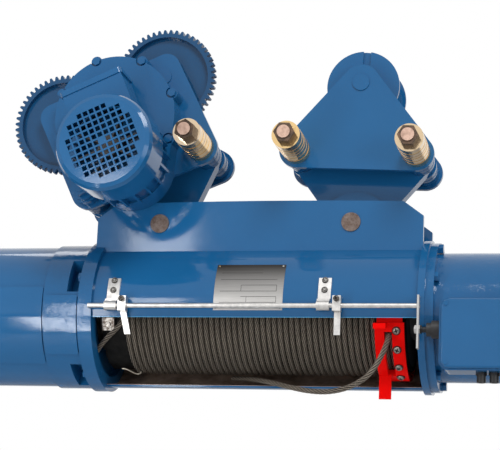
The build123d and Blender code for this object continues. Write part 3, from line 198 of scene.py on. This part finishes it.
class Finish:
    """A node material around one Principled shader, in object coordinates (metres)."""

    def __init__(self, name, roughness, metallic=0.0, specular=0.5, coat=0.0, coat_roughness=0.1):
        self.material = bpy.data.materials.new(name)
        self.material.use_nodes = True
        self.tree = self.material.node_tree
        self.shader = self.tree.nodes["Principled BSDF"]
        self.shader.inputs["Roughness"].default_value = roughness
        self.shader.inputs["Metallic"].default_value = metallic
        self.shader.inputs["Specular IOR Level"].default_value = specular
        self.shader.inputs["Coat Weight"].default_value = coat
        self.shader.inputs["Coat Roughness"].default_value = coat_roughness
        self.coordinates = self.tree.nodes.new("ShaderNodeTexCoord").outputs["Object"]
        self.height = None

    def add(self, kind, **settings):
        node = self.tree.nodes.new("ShaderNode" + kind)
        for key, value in settings.items():
            setattr(node, key, value)
        return node

    def link(self, source, target):
        if isinstance(source, (int, float)):
            target.default_value = source
        elif isinstance(source, (tuple, list)):
            target.default_value = tuple(source) + (1,) * (4 - len(source))
        else:
            self.tree.links.new(source, target)

    def stretched(self, x, y, z):
        node = self.add("Mapping")
        node.inputs["Scale"].default_value = (x, y, z)
        self.link(self.coordinates, node.inputs["Vector"])
        return node.outputs["Vector"]

    def noise(self, scale, detail=4.0, rough=0.55, where=None):
        node = self.add("TexNoise")
        node.inputs["Scale"].default_value = scale
        node.inputs["Detail"].default_value = detail
        node.inputs["Roughness"].default_value = rough
        self.link(where or self.coordinates, node.inputs["Vector"])
        return node.outputs["Fac"]

    def spread(self, value, low, high, out_low=0.0, out_high=1.0):
        node = self.add("MapRange")
        ends = {"From Min": low, "From Max": high, "To Min": out_low, "To Max": out_high}
        for name, number in ends.items():
            node.inputs[name].default_value = number
        self.link(value, node.inputs["Value"])
        return node.outputs["Result"]

    def math(self, operation, a, b=0.0):
        node = self.add("Math", operation=operation)
        self.link(a, node.inputs[0])
        self.link(b, node.inputs[1])
        return node.outputs[0]

    def mix(self, share, a, b):
        node = self.add("Mix", data_type="RGBA")
        self.link(share, node.inputs["Factor"])
        self.link(a, node.inputs["A"])
        self.link(b, node.inputs["B"])
        return node.outputs["Result"]

    def colour(self, value):
        self.link(value, self.shader.inputs["Base Color"])

    def set(self, name, value):
        self.link(value, self.shader.inputs[name])

    def bump(self, height, distance):
        """Adds relief. distance is its height in millimetres."""
        node = self.add("Bump")
        node.inputs["Distance"].default_value = distance / 1000
        self.link(height, node.inputs["Height"])
        if self.height is not None:
            self.link(self.height, node.inputs["Normal"])
        self.height = node.outputs["Normal"]
        self.link(self.height, self.shader.inputs["Normal"])

    def parts(self, axis):
        node = self.add("SeparateXYZ")
        self.link(self.coordinates, node.inputs[0])
        return node.outputs[axis]

    def from_axis(self):
        """Distance from the drum's axis, in metres."""
        front, height = self.parts("Y"), self.math("SUBTRACT", self.parts("Z"), DRUM_Z)
        squared = self.math("ADD", self.math("MULTIPLY", front, front),
                            self.math("MULTIPLY", height, height))
        return self.math("SQRT", squared)


BLUE = (0.011, 0.118, 0.3)
DEEP_BLUE = (0.008, 0.088, 0.23)
PAINT = {"specular": 0.3, "coat": 0.12, "coat_roughness": 0.06}

# Where one finish ends and the next begins, in metres
INSIDE_R = (SHELL_R - SHELL_SHEET + 0.8) / 1000
# The painted highlight on the shell's cut edge: half its height, and the y that it stays in front of
LIP_HIGHLIGHT_HALF = 0.0011
LIP_HIGHLIGHT_FRONT_Y = -0.1
WASHERS_Y = -0.0865
NUTS_Y = -0.17
BOLT_ENDS_Y = -0.2295
FLANGES_X = 0.32
END_PLATE_X = 0.3625


def blue_paint(finish, grain=0.04, grain_scale=300.0):
    """Glossy enamel with a slight orange peel, an uneven film and fine dust."""
    film = finish.spread(finish.noise(9.0, 3.0), 0.3, 0.7)
    specks = finish.spread(finish.noise(420.0, 2.0), 0.66, 0.74)
    colour = finish.mix(finish.math("MULTIPLY", film, 0.3), BLUE, DEEP_BLUE)
    colour = finish.mix(finish.math("MULTIPLY", specks, 0.1), colour, (0.16, 0.28, 0.42))
    finish.set("Roughness", finish.spread(finish.noise(34.0), 0.3, 0.7, 0.07, 0.12))
    finish.bump(finish.noise(grain_scale, 2.0), grain)
    return colour


def blue_enamel():
    finish = Finish("blue_enamel", 0.2, **PAINT)
    finish.colour(blue_paint(finish))
    return finish.material


def cast_enamel(name="cast_enamel", shade=0.0):
    """The same enamel over a sand-cast skin. shade is how far the colour goes to a dull dark blue, as painted
    shade.
    """
    finish = Finish(name, 0.24, **PAINT)
    finish.colour(finish.mix(shade, blue_paint(finish, 0.1, 180.0), (0.006, 0.03, 0.075)))
    finish.bump(finish.noise(46.0, 5.0, 0.6), 0.7)
    finish.bump(finish.noise(16.0, 2.0, 0.5), 1.2)
    return finish.material


def shell_enamel():
    """Blue outside, with a painted highlight along the cut edge over the window, and bare brown sheet inside.
    """
    finish = Finish("shell_enamel", 0.2, **PAINT)
    painted = blue_paint(finish)
    stain = finish.spread(finish.noise(24.0, 6.0, 0.65), 0.35, 0.68)
    brown = finish.mix(stain, (0.58, 0.43, 0.34), (0.22, 0.155, 0.12))
    inside = finish.math("LESS_THAN", finish.from_axis(), INSIDE_R)
    height, front = finish.parts("Z"), finish.parts("Y")
    # Painted highlight: a light blue line along the window's upper cut edge, on the front.
    edge_z = DRUM_Z - SHELL_R / 1000 * math.sin(math.radians(WINDOW_TOP))
    off_edge = finish.math("ABSOLUTE", finish.math("SUBTRACT", height, edge_z))
    near_edge = finish.math("LESS_THAN", off_edge, LIP_HIGHLIGHT_HALF)
    painted_lip_highlight = finish.math("MULTIPLY", near_edge, finish.math("LESS_THAN", front, LIP_HIGHLIGHT_FRONT_Y))
    finish.colour(finish.mix(inside, finish.mix(painted_lip_highlight, painted, (0.1, 0.42, 0.75)), brown))
    return finish.material


def split_paint(name, limit, metal, shine=0.9):
    """Bare metal on what stands nearer to the viewer than y = limit, and blue enamel behind it."""
    finish = Finish(name, 0.3, specular=0.3)
    painted = blue_paint(finish)
    bare = finish.math("LESS_THAN", finish.parts("Y"), limit)
    finish.colour(finish.mix(bare, painted, metal(finish)))
    finish.set("Metallic", finish.math("MULTIPLY", bare, shine))
    return finish.material


def red_enamel():
    finish = Finish("red_enamel", 0.3, specular=0.03)
    wear = finish.spread(finish.noise(60.0, 6.0, 0.7), 0.62, 0.72)
    shade = finish.spread(finish.noise(18.0, 3.0), 0.3, 0.7)
    red = finish.mix(shade, (1.0, 0.004, 0.003), (0.84, 0.004, 0.003))
    finish.colour(finish.mix(finish.math("MULTIPLY", wear, 0.5), red, (0.2, 0.03, 0.02)))
    finish.bump(finish.noise(300.0, 3.0), 0.08)
    return finish.material


def black_barrel():
    finish = Finish("black_barrel", 0.55, specular=0.1)
    oil = finish.spread(finish.noise(55.0, 6.0, 0.7), 0.4, 0.7)
    finish.colour(finish.mix(oil, (0.003, 0.003, 0.003), (0.012, 0.011, 0.01)))
    finish.bump(finish.noise(140.0, 5.0, 0.6), 0.35)
    return finish.material


def zinc():
    """Bright zinc on brackets, rod and screws: milky, with faint drawing lines."""
    finish = Finish("zinc", 0.34, metallic=0.9)
    cloud = finish.spread(finish.noise(70.0, 5.0, 0.6), 0.3, 0.7)
    lines = finish.noise(300.0, 2.0, 0.5, finish.stretched(0.05, 1.0, 1.0))
    colour = finish.mix(cloud, (0.78, 0.76, 0.73), (0.42, 0.41, 0.4))
    finish.colour(finish.mix(finish.math("MULTIPLY", lines, 0.3), colour, (0.86, 0.85, 0.83)))
    finish.set("Roughness", finish.spread(cloud, 0.0, 1.0, 0.28, 0.45))
    finish.bump(lines, 0.05)
    return finish.material


def stained_zinc():
    """The rope clamps: zinc under oil and rust stains."""
    finish = Finish("stained_zinc", 0.4, metallic=0.7)
    stain = finish.spread(finish.noise(120.0, 7.0, 0.7), 0.42, 0.58)
    finish.colour(finish.mix(stain, (0.55, 0.52, 0.48), (0.1, 0.075, 0.06)))
    finish.bump(finish.noise(300.0, 5.0), 0.2)
    return finish.material


def yellow_zinc(finish):
    """Yellow zinc on the washers, each a little different from the next."""
    bands = finish.spread(finish.noise(150.0, 1.0, 0.4, finish.stretched(0.02, 1.0, 0.02)), 0.35, 0.65)
    colour = finish.mix(bands, (0.9, 0.62, 0.28), (0.72, 0.58, 0.42))
    rust = finish.spread(finish.noise(120.0, 6.0, 0.7), 0.58, 0.7)
    finish.bump(finish.noise(400.0, 3.0), 0.08)
    return finish.mix(finish.math("MULTIPLY", rust, 0.6), colour, (0.16, 0.09, 0.05))


def dark_steel(finish):
    """Browned nuts, and bright sawn ends on the bolts that stand out of them."""
    bloom = finish.spread(finish.noise(80.0, 6.0, 0.65), 0.42, 0.66)
    nut = finish.mix(bloom, (0.07, 0.05, 0.038), (0.17, 0.105, 0.07))
    end = finish.math("LESS_THAN", finish.parts("Y"), BOLT_ENDS_Y)
    return finish.mix(end, nut, finish.mix(bloom, (0.62, 0.42, 0.33), (0.4, 0.26, 0.2)))


def fastener_finish():
    """Blue paint on the flange and lid screws at the ends, and bright heads between them."""
    finish = Finish("fastener_finish", 0.3, specular=0.3)
    painted = blue_paint(finish)
    bare = finish.math("LESS_THAN", finish.math("ABSOLUTE", finish.parts("X")), FLANGES_X)
    finish.colour(finish.mix(bare, painted, (0.5, 0.49, 0.47)))
    finish.set("Metallic", finish.math("MULTIPLY", bare, 0.9))
    return finish.material


def switch_finish():
    """Bright zinc on the end plate, black on the plunger behind it."""
    finish = Finish("switch_finish", 0.4, metallic=0.5)
    plate = finish.math("LESS_THAN", finish.parts("X"), END_PLATE_X)
    cloud = finish.mix(finish.noise(70.0, 5.0, 0.6), (0.6, 0.59, 0.57), (0.42, 0.41, 0.4))
    finish.colour(finish.mix(plate, (0.02, 0.02, 0.022), cloud))
    finish.bump(finish.noise(300.0, 3.0), 0.05)
    return finish.material


def black_steel():
    """Oil-blackened bolts and nuts with brown bloom."""
    finish = Finish("black_steel", 0.42, metallic=0.7)
    finish.colour(dark_steel(finish))
    finish.bump(finish.noise(260.0, 4.0), 0.12)
    return finish.material


def pin_steel():
    """Sawn pin ends with a skin of flash rust."""
    finish = Finish("pin_steel", 0.5, metallic=0.45)
    rust = finish.spread(finish.noise(130.0, 8.0, 0.75), 0.36, 0.64)
    finish.colour(finish.mix(rust, (0.21, 0.165, 0.145), (0.085, 0.05, 0.036)))
    finish.bump(finish.noise(420.0, 5.0, 0.7), 0.2)
    return finish.material


def machined_steel():
    finish = Finish("machined_steel", 0.35, metallic=0.95)
    rings = finish.noise(500.0, 2.0, 0.5, finish.stretched(1.0, 0.1, 1.0))
    finish.colour(finish.mix(rings, (0.46, 0.45, 0.44), (0.3, 0.29, 0.28)))
    finish.bump(rings, 0.04)
    return finish.material


def cast_iron():
    finish = Finish("cast_iron", 0.6, metallic=0.4)
    finish.colour(finish.mix(finish.noise(70.0, 6.0), (0.07, 0.068, 0.066), (0.13, 0.12, 0.115)))
    finish.bump(finish.noise(90.0, 6.0, 0.6), 0.5)
    return finish.material


def rope_steel():
    """Oiled rope strands, with painted shade in the grooves between them. The strands' own coordinates run
    round and along each one.
    """
    finish = Finish("rope_steel", 0.36, metallic=0.55, specular=0.25)
    lay = finish.add("UVMap")
    lay.uv_map = "lay"
    wires = finish.add("TexWave", wave_type="BANDS", bands_direction="DIAGONAL")
    wires.inputs["Scale"].default_value = 1.6
    finish.link(lay.outputs["UV"], wires.inputs["Vector"])
    around = finish.add("SeparateXYZ")
    finish.link(lay.outputs["UV"], around.inputs[0])
    turn = finish.math("MULTIPLY", around.outputs["X"], 2 * math.pi / WIRES_ROUND)
    # Painted shade: each strand goes near black towards its sides, where it meets the next, and keeps the
    # worn colour on its crest.
    painted_groove_shade = finish.spread(finish.math("COSINE", turn), 0.15, 0.95)
    grime = finish.spread(finish.noise(30.0, 5.0, 0.6), 0.35, 0.7)
    base_tone = finish.mix(wires.outputs["Fac"], (0.11, 0.09, 0.072), (0.46, 0.4, 0.33))
    worn = finish.mix(finish.math("MULTIPLY", grime, 0.35), base_tone, (0.08, 0.062, 0.05))
    finish.colour(finish.mix(painted_groove_shade, (0.012, 0.01, 0.008), worn))
    finish.bump(wires.outputs["Fac"], 0.25)
    return finish.material


def plate_aluminium():
    """Brushed aluminium, with a painted reflection: darker towards its upper edge, brighter below."""
    finish = Finish("plate_aluminium", 0.3, metallic=0.7)
    brushed = finish.noise(900.0, 2.0, 0.6, finish.stretched(0.03, 1.0, 1.0))
    # Painted reflection: the plate fades to near black towards its upper edge, brighter metal below.
    painted_reflection_shade = finish.spread(finish.parts("Z"), DRUM_Z - 0.01, DRUM_Z + 0.085)
    base_tone = finish.mix(brushed, (0.66, 0.65, 0.63), (0.44, 0.43, 0.42))
    finish.colour(finish.mix(painted_reflection_shade, base_tone, (0.03, 0.028, 0.027)))
    finish.set("Roughness", finish.spread(brushed, 0.0, 1.0, 0.26, 0.42))
    finish.bump(brushed, 0.03)
    return finish.material


def ink():
    finish = Finish("ink", 0.5, specular=0.2)
    finish.colour(finish.mix(finish.noise(300.0, 3.0), (0.02, 0.02, 0.02), (0.06, 0.058, 0.055)))
    return finish.material


def wire_finish():
    finish = Finish("wire_finish", 0.4, metallic=0.3)
    finish.colour(finish.mix(finish.noise(160.0, 4.0), (0.8, 0.74, 0.62), (0.5, 0.45, 0.36)))
    return finish.material


def screw_finish(name, tone):
    finish = Finish(name, 0.3, metallic=0.85)
    grime = finish.spread(finish.noise(220.0, 4.0, 0.6), 0.35, 0.7)
    finish.colour(finish.mix(grime, tone, tuple(0.45 * part for part in tone)))
    finish.bump(finish.noise(500.0, 3.0), 0.04)
    return finish.material


def black_plastic():
    finish = Finish("black_plastic", 0.45, specular=0.4)
    finish.colour(finish.mix(finish.noise(200.0, 3.0), (0.012, 0.012, 0.013), (0.03, 0.03, 0.032)))
    finish.bump(finish.noise(900.0, 2.0), 0.05)
    return finish.material


def dress_nodes():
    """Gives each CAD node that stays its finish."""
    blue, cast, steel = blue_enamel(), cast_enamel(), machined_steel()
    white, dark, pins = zinc(), black_steel(), pin_steel()
    red, iron, plastic = red_enamel(), cast_iron(), black_plastic()
    # Painted shade: the driven wheels' enamel goes halfway to a dull dark blue.
    wheel = cast_enamel("wheel_enamel_painted_shade", 0.5)
    finish_of = {
        "drum_shell": shell_enamel(), "suspension_pins": pins, "pin_keepers": white,
        "motor_stator": iron, "frame_fasteners": fastener_finish(), "cable_glands": plastic,
        "main_bearings": steel, "rod_brackets": white, "name_plate": plate_aluminium(),
        "limit_switch_body": plastic, "drum_barrel": black_barrel(), "drum_hubs": iron,
        "rope_clamps": stained_zinc(), "output_gear": steel, "motor_rotor": steel,
        "drive_shaft": steel, "countershaft_a": steel, "countershaft_b": steel, "guide_ring": red,
        "guide_plate": red, "guide_screws": white, "limit_rod": white, "rod_stops": white,
        "switch_plunger": switch_finish(),
        # The nut at the lower left of the driven bogie went through the spray booth.
        "drive_tie_bolts": split_paint("drive_bolt_finish", NUTS_Y, dark_steel, 0.7),
        "drive_spacers": split_paint("drive_spacer_finish", WASHERS_Y, yellow_zinc),
        "travel_rotor": iron, "travel_countershaft": steel, "travel_output_shaft": steel,
        "idle_tie_bolts": dark, "idle_spacers": split_paint("idle_washers", WASHERS_Y, yellow_zinc),
        "motor_end_shield": cast, "gearbox_housing": cast, "travel_gearbox": cast,
        "travel_motor_housing": cast, "drive_wheel_left": wheel, "drive_wheel_right": wheel,
    }
    for name, node in nodes.items():
        node.data.materials.clear()
        node.data.materials.append(finish_of.get(name, blue))


# Rope

def frames_along(points):
    """A path's points, with side and lift directions that turn as little as they can along it."""
    points = np.asarray(points, float)
    tangents = np.gradient(points, axis=0)
    tangents /= np.linalg.norm(tangents, axis=1)[:, None]
    side = np.cross(tangents[0], (0.0, 0.0, 1.0))
    side /= np.linalg.norm(side)
    sides = []
    for tangent in tangents:
        side = side - tangent * side.dot(tangent)
        side /= np.linalg.norm(side)
        sides.append(side)
    sides = np.array(sides)
    return points, sides, np.cross(tangents, sides)


def along_path(points):
    """How far along the path each of its points lies."""
    return np.concatenate([[0.0], np.cumsum(np.linalg.norm(np.diff(points, axis=0), axis=1))])


STRAND_R = ROPE_D / 6 * 1.06 / 1000
STRAND_OFFSET = ROPE_D / 2 / 1000 - STRAND_R
MARKS_PER_METRE = 400


def strand_mesh(name, points, sides):
    """A laid rope along a path (metres): its strands are tubes that wind round the path."""
    points, side, lift = frames_along(points)
    along = along_path(points)
    rings = len(points)
    ring_angles = 2 * math.pi * np.arange(sides) / sides
    reach = (STRAND_OFFSET + STRAND_R * np.cos(ring_angles))[None, :, None]
    swing = (STRAND_R * np.sin(ring_angles))[None, :, None]
    ring_starts = np.arange(rings - 1)[:, None] * sides
    here = np.arange(sides)[None, :]
    after = (here + 1) % sides
    vertices, faces = [], []
    for strand in range(STRANDS):
        turn = 2 * math.pi * along / (ROPE_LAY / 1000) + 2 * math.pi * strand / STRANDS
        out = side * np.cos(turn)[:, None] + lift * np.sin(turn)[:, None]
        across = lift * np.cos(turn)[:, None] - side * np.sin(turn)[:, None]
        ring = points[:, None, :] + out[:, None, :] * reach + across[:, None, :] * swing
        vertices.append(ring.reshape(-1, 3))
        base = strand * rings * sides + ring_starts
        quads = np.stack([base + here, base + after, base + after + sides, base + here + sides], axis=-1)
        faces.append(quads.reshape(-1, 4))
    u0 = np.broadcast_to(here / sides * WIRES_ROUND, (rings - 1, sides))
    u1 = u0 + WIRES_ROUND / sides
    v0 = np.broadcast_to(along[:-1, None] * MARKS_PER_METRE, (rings - 1, sides))
    v1 = np.broadcast_to(along[1:, None] * MARKS_PER_METRE, (rings - 1, sides))
    corners = [np.stack(corner, -1) for corner in ((u0, v0), (u1, v0), (u1, v1), (u0, v1))]
    marks = np.tile(np.stack(corners, axis=2).reshape(-1, 2), (STRANDS, 1))
    vertices = np.concatenate(vertices)
    faces = np.concatenate(faces)
    mesh = bpy.data.meshes.new(name)
    mesh.vertices.add(len(vertices))
    mesh.vertices.foreach_set("co", vertices.astype(np.float32).ravel())
    mesh.loops.add(faces.size)
    mesh.loops.foreach_set("vertex_index", faces.astype(np.int32).ravel())
    mesh.polygons.add(len(faces))
    mesh.polygons.foreach_set("loop_start", np.arange(0, faces.size, 4, dtype=np.int32))
    mesh.uv_layers.new(name="lay")
    mesh.uv_layers["lay"].data.foreach_set("uv", marks.astype(np.float32).ravel())
    mesh.update(calc_edges=True)
    mesh.validate()
    mesh.polygons.foreach_set("use_smooth", np.ones(len(mesh.polygons), bool))
    return link_object(name, mesh)


WOUND_STEP = 6.0
WOUND_PARTS = 3
WOUND_START = math.radians(-10.0)


def wound_points(first_turn, last_turn):
    radius = BARREL_R + ROPE_D / 2
    count = int((last_turn - first_turn) * 2 * math.pi * radius / WOUND_STEP) + 1
    turns = np.linspace(first_turn, last_turn, count)
    angle = WOUND_START + 2 * math.pi * turns
    x = ROPE_LEFT + GROOVE_PITCH * turns + ROPE_D / 2
    front, height = -radius * np.cos(angle), -radius * np.sin(angle)
    return np.stack([x / 1000, front / 1000, height / 1000 + DRUM_Z], axis=1)


def add_wound_rope(material):
    turns_each = ROPE_TURNS / WOUND_PARTS
    for part in range(WOUND_PARTS):
        first = part * turns_each - 1
        line = wound_points(first, first + turns_each)
        piece = strand_mesh("wound_rope_%d" % (part + 1), line, sides=5)
        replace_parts(finish_piece(piece, material, "drum"), "wound_rope")


# The loose end of the rope, from under the drum to the guide's slot
LOOP_ROUTE = [
    (-60.0, 40.0, -124.5),
    (-15.2, 2.0, -130.2),
    (33.5, -28.0, -140.4),
    (81.2, -58.0, -155.0),
    (126.4, -86.0, -166.7),
    (167.9, -110.0, -172.0),
    (203.8, -130.0, -169.2),
    (232.2, -145.0, -160.9),
    (256.2, -155.5, -147.6),
    (274.0, -160.0, -127.6),
    (285.3, -159.6, -106.6),
    (291.9, -152.5, -87.0),
    (294.6, -138.0, -70.6),
    (294.6, -119.8, -57.0),
]
LOOP_STEP = 0.0025


def route_line(points):
    """Points along the smooth line that the route's points control."""
    curve = bpy.data.curves.new("route", "CURVE")
    curve.dimensions = "3D"
    spline = curve.splines.new("NURBS")
    spline.points.add(len(points) - 1)
    for point, place in zip(spline.points, points):
        point.co = (*mm(*place), 1)
    spline.order_u = 3
    spline.use_endpoint_u = True
    spline.resolution_u = 12
    holder = link_object("route", curve)
    bpy.context.view_layer.update()
    mesh = bpy.data.meshes.new_from_object(holder)
    line = [vertex.co.copy() for vertex in mesh.vertices]
    bpy.data.objects.remove(holder)
    bpy.data.meshes.remove(mesh)
    return line


def evenly(points, step):
    """The path again, with its points the same step apart."""
    points = np.array(points, float)
    along = along_path(points)
    wanted = np.linspace(0, along[-1], int(along[-1] / step) + 1)
    return np.stack([np.interp(wanted, along, points[:, k]) for k in range(3)], axis=1)


def add_rope_loop(material):
    line = evenly(route_line(LOOP_ROUTE), LOOP_STEP)
    piece = strand_mesh("rope_loop_strands", line, sides=8)
    finish_piece(piece, material, "rope_guide")
    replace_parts(piece, "rope_loop")


# The rope's tail and its tie wire on the drum: (x, degrees below the horizontal on the viewer's side)

TAIL_R = 117.0
TAIL_STEP = 0.002
TAIL_ROUTE = [(-258.0, 2.0), (-263.0, 9.0), (-269.7, 16.1), (-278.7, 21.2), (-290.3, 26.5),
              (-304.6, 33.1), (-317.4, 40.0), (-328.7, 47.6)]
WIRE_R = 123.0
WIRE_THICK = 1.3
WIRE_STEP = 0.0015
WIRE_ROUTE = [(-284.0, 72.0), (-279.0, 71.6), (-271.6, 74.9), (-267.0, 80.4), (-263.0, 87.0),
              (-256.0, 88.6), (-250.0, 84.5), (-247.0, 80.1)]
SMOOTH_PASSES = 6


def smooth_line(places, step):
    """A line through the places, rounded by averaging between them, with even steps."""
    line = evenly(places, step)
    for _ in range(SMOOTH_PASSES):
        line[1:-1] = (line[:-2] + 2 * line[1:-1] + line[2:]) / 4
    return evenly(line, step)


def tube_mesh(name, points, radius, sides):
    """A closed round tube along a path (metres)."""
    points, side, lift = frames_along(points)
    turns = 2 * math.pi * np.arange(sides) / sides
    rings = points[:, None, :] + radius * (side[:, None, :] * np.cos(turns)[None, :, None]
                                           + lift[:, None, :] * np.sin(turns)[None, :, None])
    vertices = [tuple(place) for place in rings.reshape(-1, 3)]
    faces = []
    for ring in range(len(points) - 1):
        near, far = ring * sides, (ring + 1) * sides
        for k in range(sides):
            after = (k + 1) % sides
            faces.append((near + k, near + after, far + after, far + k))
    faces.append(tuple(range(sides))[::-1])
    faces.append(tuple(range((len(points) - 1) * sides, len(points) * sides)))
    return new_piece(name, vertices, faces, smooth=True)


def add_rope_tail(material):
    tail = smooth_line([on_drum(x, angle, TAIL_R) for x, angle in TAIL_ROUTE], TAIL_STEP)
    finish_piece(strand_mesh("rope_tail", tail, sides=8), material, "drum")
    wire = smooth_line([on_drum(x, angle, WIRE_R) for x, angle in WIRE_ROUTE], WIRE_STEP)
    piece = tube_mesh("tie_wire", wire, WIRE_THICK / 1000, sides=8)
    finish_piece(piece, wire_finish(), "drum")


# Cross-recess screws

# A head's own measures are shares of its radius, and its height's of its height
RECESS_HALF = 0.17
RECESS_TAPER = 1.15
RECESS_REACH = 0.62
RECESS_SLOPE = 0.12
RECESS_DEPTH = 0.55
DOME = 0.88
HEAD_RINGS = 22
HEAD_SIDES = 56
WASHER_T = 1.0

# Heads: radius and height in millimetres, and the washer's radius as a share of the head's
GUIDE_HEAD = (7.5, 5.0, 1.18)
STRAP_HEAD = (6.2, 4.4, 1.08)
STOP_HEAD = (5.6, 3.4, 1.08)

# Screws: (degrees below the horizontal, turn of the recess) or (x, turn of the recess)
GUIDE_SCREW_X = 310.0
GUIDE_FACE_R = 137.0
GUIDE_SCREWS = [(21.0, 0.3), (38.0, 1.1), (57.0, 0.7), (72.0, 0.2)]
BRACKET_XS = (-278.0, 166.0)
BRACKET_SCREWS = [(-19.0, 0.4), (-11.0, 1.0)]
STRAP_R = 156.0
STOP_SCREWS = [(-252.0, 0.6), (195.0, 0.15)]
STOP_FRONT_Y = -181.0
STOP_SCREW_Z = 7.0


def in_recess(along, across):
    radius = math.hypot(along, across)
    half = RECESS_HALF * (RECESS_TAPER - radius)
    return radius < RECESS_REACH and min(abs(along), abs(across)) < half


def head_height(along, across):
    """Height of a pan head, as a share of its own, at a place given in shares of its radius."""
    radius = math.hypot(along, across)
    height = math.sqrt(max(0.0, 1 - DOME * radius ** 4))
    if in_recess(along, across):
        height -= RECESS_DEPTH * min(1.0, (RECESS_REACH - radius) / RECESS_SLOPE)
    return height


def add_screws(name, places, head, materials, body):
    """Pan heads on washers at (place, outward direction, turn), with the second material, a painted shade, in
    the recess and on the washer.
    """
    radius, height, washer = head
    rows = [(ring / HEAD_RINGS, None) for ring in range(1, HEAD_RINGS + 1)]
    rows += [(1.0, WASHER_T / height), (washer, WASHER_T / height), (washer, 0.0)]
    vertices, faces, dark = [], [], []
    for place, outward, turn in places:
        outward = Vector(outward).normalized()
        level = outward.cross(Vector((1, 0, 0))).normalized()
        upright = outward.cross(level)
        base = len(vertices)
        vertices.append(place + outward * head_height(0.0, 0.0) * height / 1000)
        for share, lift in rows:
            for k in range(HEAD_SIDES):
                angle = 2 * math.pi * k / HEAD_SIDES
                rise = head_height(share * math.cos(angle), share * math.sin(angle)) if lift is None else lift
                spin = angle + turn
                across = (level * math.cos(spin) + upright * math.sin(spin)) * share * radius / 1000
                vertices.append(place + across + outward * rise * height / 1000)
        for k in range(HEAD_SIDES):
            after = (k + 1) % HEAD_SIDES
            angle = 2 * math.pi * (k + 0.5) / HEAD_SIDES
            faces.append((base, base + 1 + k, base + 1 + after))
            dark.append(1)
            for row in range(len(rows) - 1):
                near = base + 1 + row * HEAD_SIDES
                far = near + HEAD_SIDES
                faces.append((near + k, far + k, far + after, near + after))
                share = (row + 1.5) / HEAD_RINGS
                sunk = in_recess(share * math.cos(angle), share * math.sin(angle))
                # Painted shade: the recess, the head's middle and underside, and the washer, a dark ring of
                # painted shadow round the head, take the second material.
                dark.append(int(sunk or row >= HEAD_RINGS))
        last = base + 1 + (len(rows) - 1) * HEAD_SIDES
        faces.append(tuple(last + k for k in range(HEAD_SIDES))[::-1])
        dark.append(1)
    piece = finish_piece(new_piece(name, vertices, faces), materials[0], body)
    piece.data.materials.append(materials[1])
    piece.data.polygons.foreach_set("material_index", dark)
    return piece


def radial_places(x, screws, radius):
    """Places, outward directions and turns of screws that point away from the drum's axis."""
    places = []
    for angle, turn in screws:
        place = on_drum(x, angle, radius)
        places.append((place, place - mm(x, 0, 0), turn))
    return places


def add_all_screws():
    bright = screw_finish("bright_screw", (0.4, 0.37, 0.33))
    # Near-black painted shade for the screws' recesses and washers.
    black = screw_finish("screw_recess_painted_shade", (0.03, 0.027, 0.024))
    dark = screw_finish("dark_screw", (0.13, 0.12, 0.11))
    guide = radial_places(GUIDE_SCREW_X, GUIDE_SCREWS, GUIDE_FACE_R)
    heads = add_screws("guide_screw_heads", guide, GUIDE_HEAD, (bright, black), "rope_guide")
    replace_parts(heads, "guide_screws")
    straps = [place for x in BRACKET_XS for place in radial_places(x, BRACKET_SCREWS, STRAP_R)]
    add_screws("bracket_screw_heads", straps, STRAP_HEAD, (dark, black), "hoist_frame")
    stops = [(mm(x, STOP_FRONT_Y, STOP_SCREW_Z), (0, -1, 0), turn) for x, turn in STOP_SCREWS]
    add_screws("stop_screw_heads", stops, STOP_HEAD, (dark, black), "limit_linkage")


# Empty ruled fields on the name plate

PLATE_OUT_R = 153.06
RULE_T = 0.12
RULE_HALF = 0.16
UPRIGHT_HALF = 0.4
UPRIGHT_STEPS = 4

# (from x, to x, degrees above the horizontal)
RULES = [(-52.0, 34.0, 29.5), (-52.0, 34.0, 26.5), (-52.0, 66.0, 20.5), (-8.0, 66.0, 15.5),
         (-52.0, 66.0, 10.5), (-8.0, 66.0, 6.0), (-52.0, 66.0, 1.5)]
# (x, from and to degrees above the horizontal)
UPRIGHTS = [(-8.0, 15.5, 10.5), (66.0, 15.5, 10.5), (4.0, 6.0, 1.5), (66.0, 6.0, 1.5)]
SLAB_SIDES = ((4, 5, 6, 7), (3, 2, 1, 0), (0, 1, 5, 4), (1, 2, 6, 5), (2, 3, 7, 6), (3, 0, 4, 7))


def add_rules():
    patches = [(x0, x1, angle + RULE_HALF, angle - RULE_HALF) for x0, x1, angle in RULES]
    for x, top, bottom in UPRIGHTS:
        step = (bottom - top) / UPRIGHT_STEPS
        for k in range(UPRIGHT_STEPS):
            high = top + step * k
            patches.append((x - UPRIGHT_HALF, x + UPRIGHT_HALF, high, high + step))
    vertices, faces = [], []
    for x0, x1, top, bottom in patches:
        base = len(vertices)
        for radius in (PLATE_OUT_R, PLATE_OUT_R + RULE_T):
            for x, angle in ((x0, top), (x1, top), (x1, bottom), (x0, bottom)):
                vertices.append(on_drum(x, -angle, radius))
        faces += [tuple(base + corner for corner in side) for side in SLAB_SIDES]
    piece = new_piece("name_plate_rules", vertices, faces)
    finish_piece(piece, ink(), "hoist_frame")


add_camera()
add_surroundings()
dress_nodes()
rope = rope_steel()
add_wound_rope(rope)
add_rope_loop(rope)
add_rope_tail(rope)
add_all_screws()
add_rules()
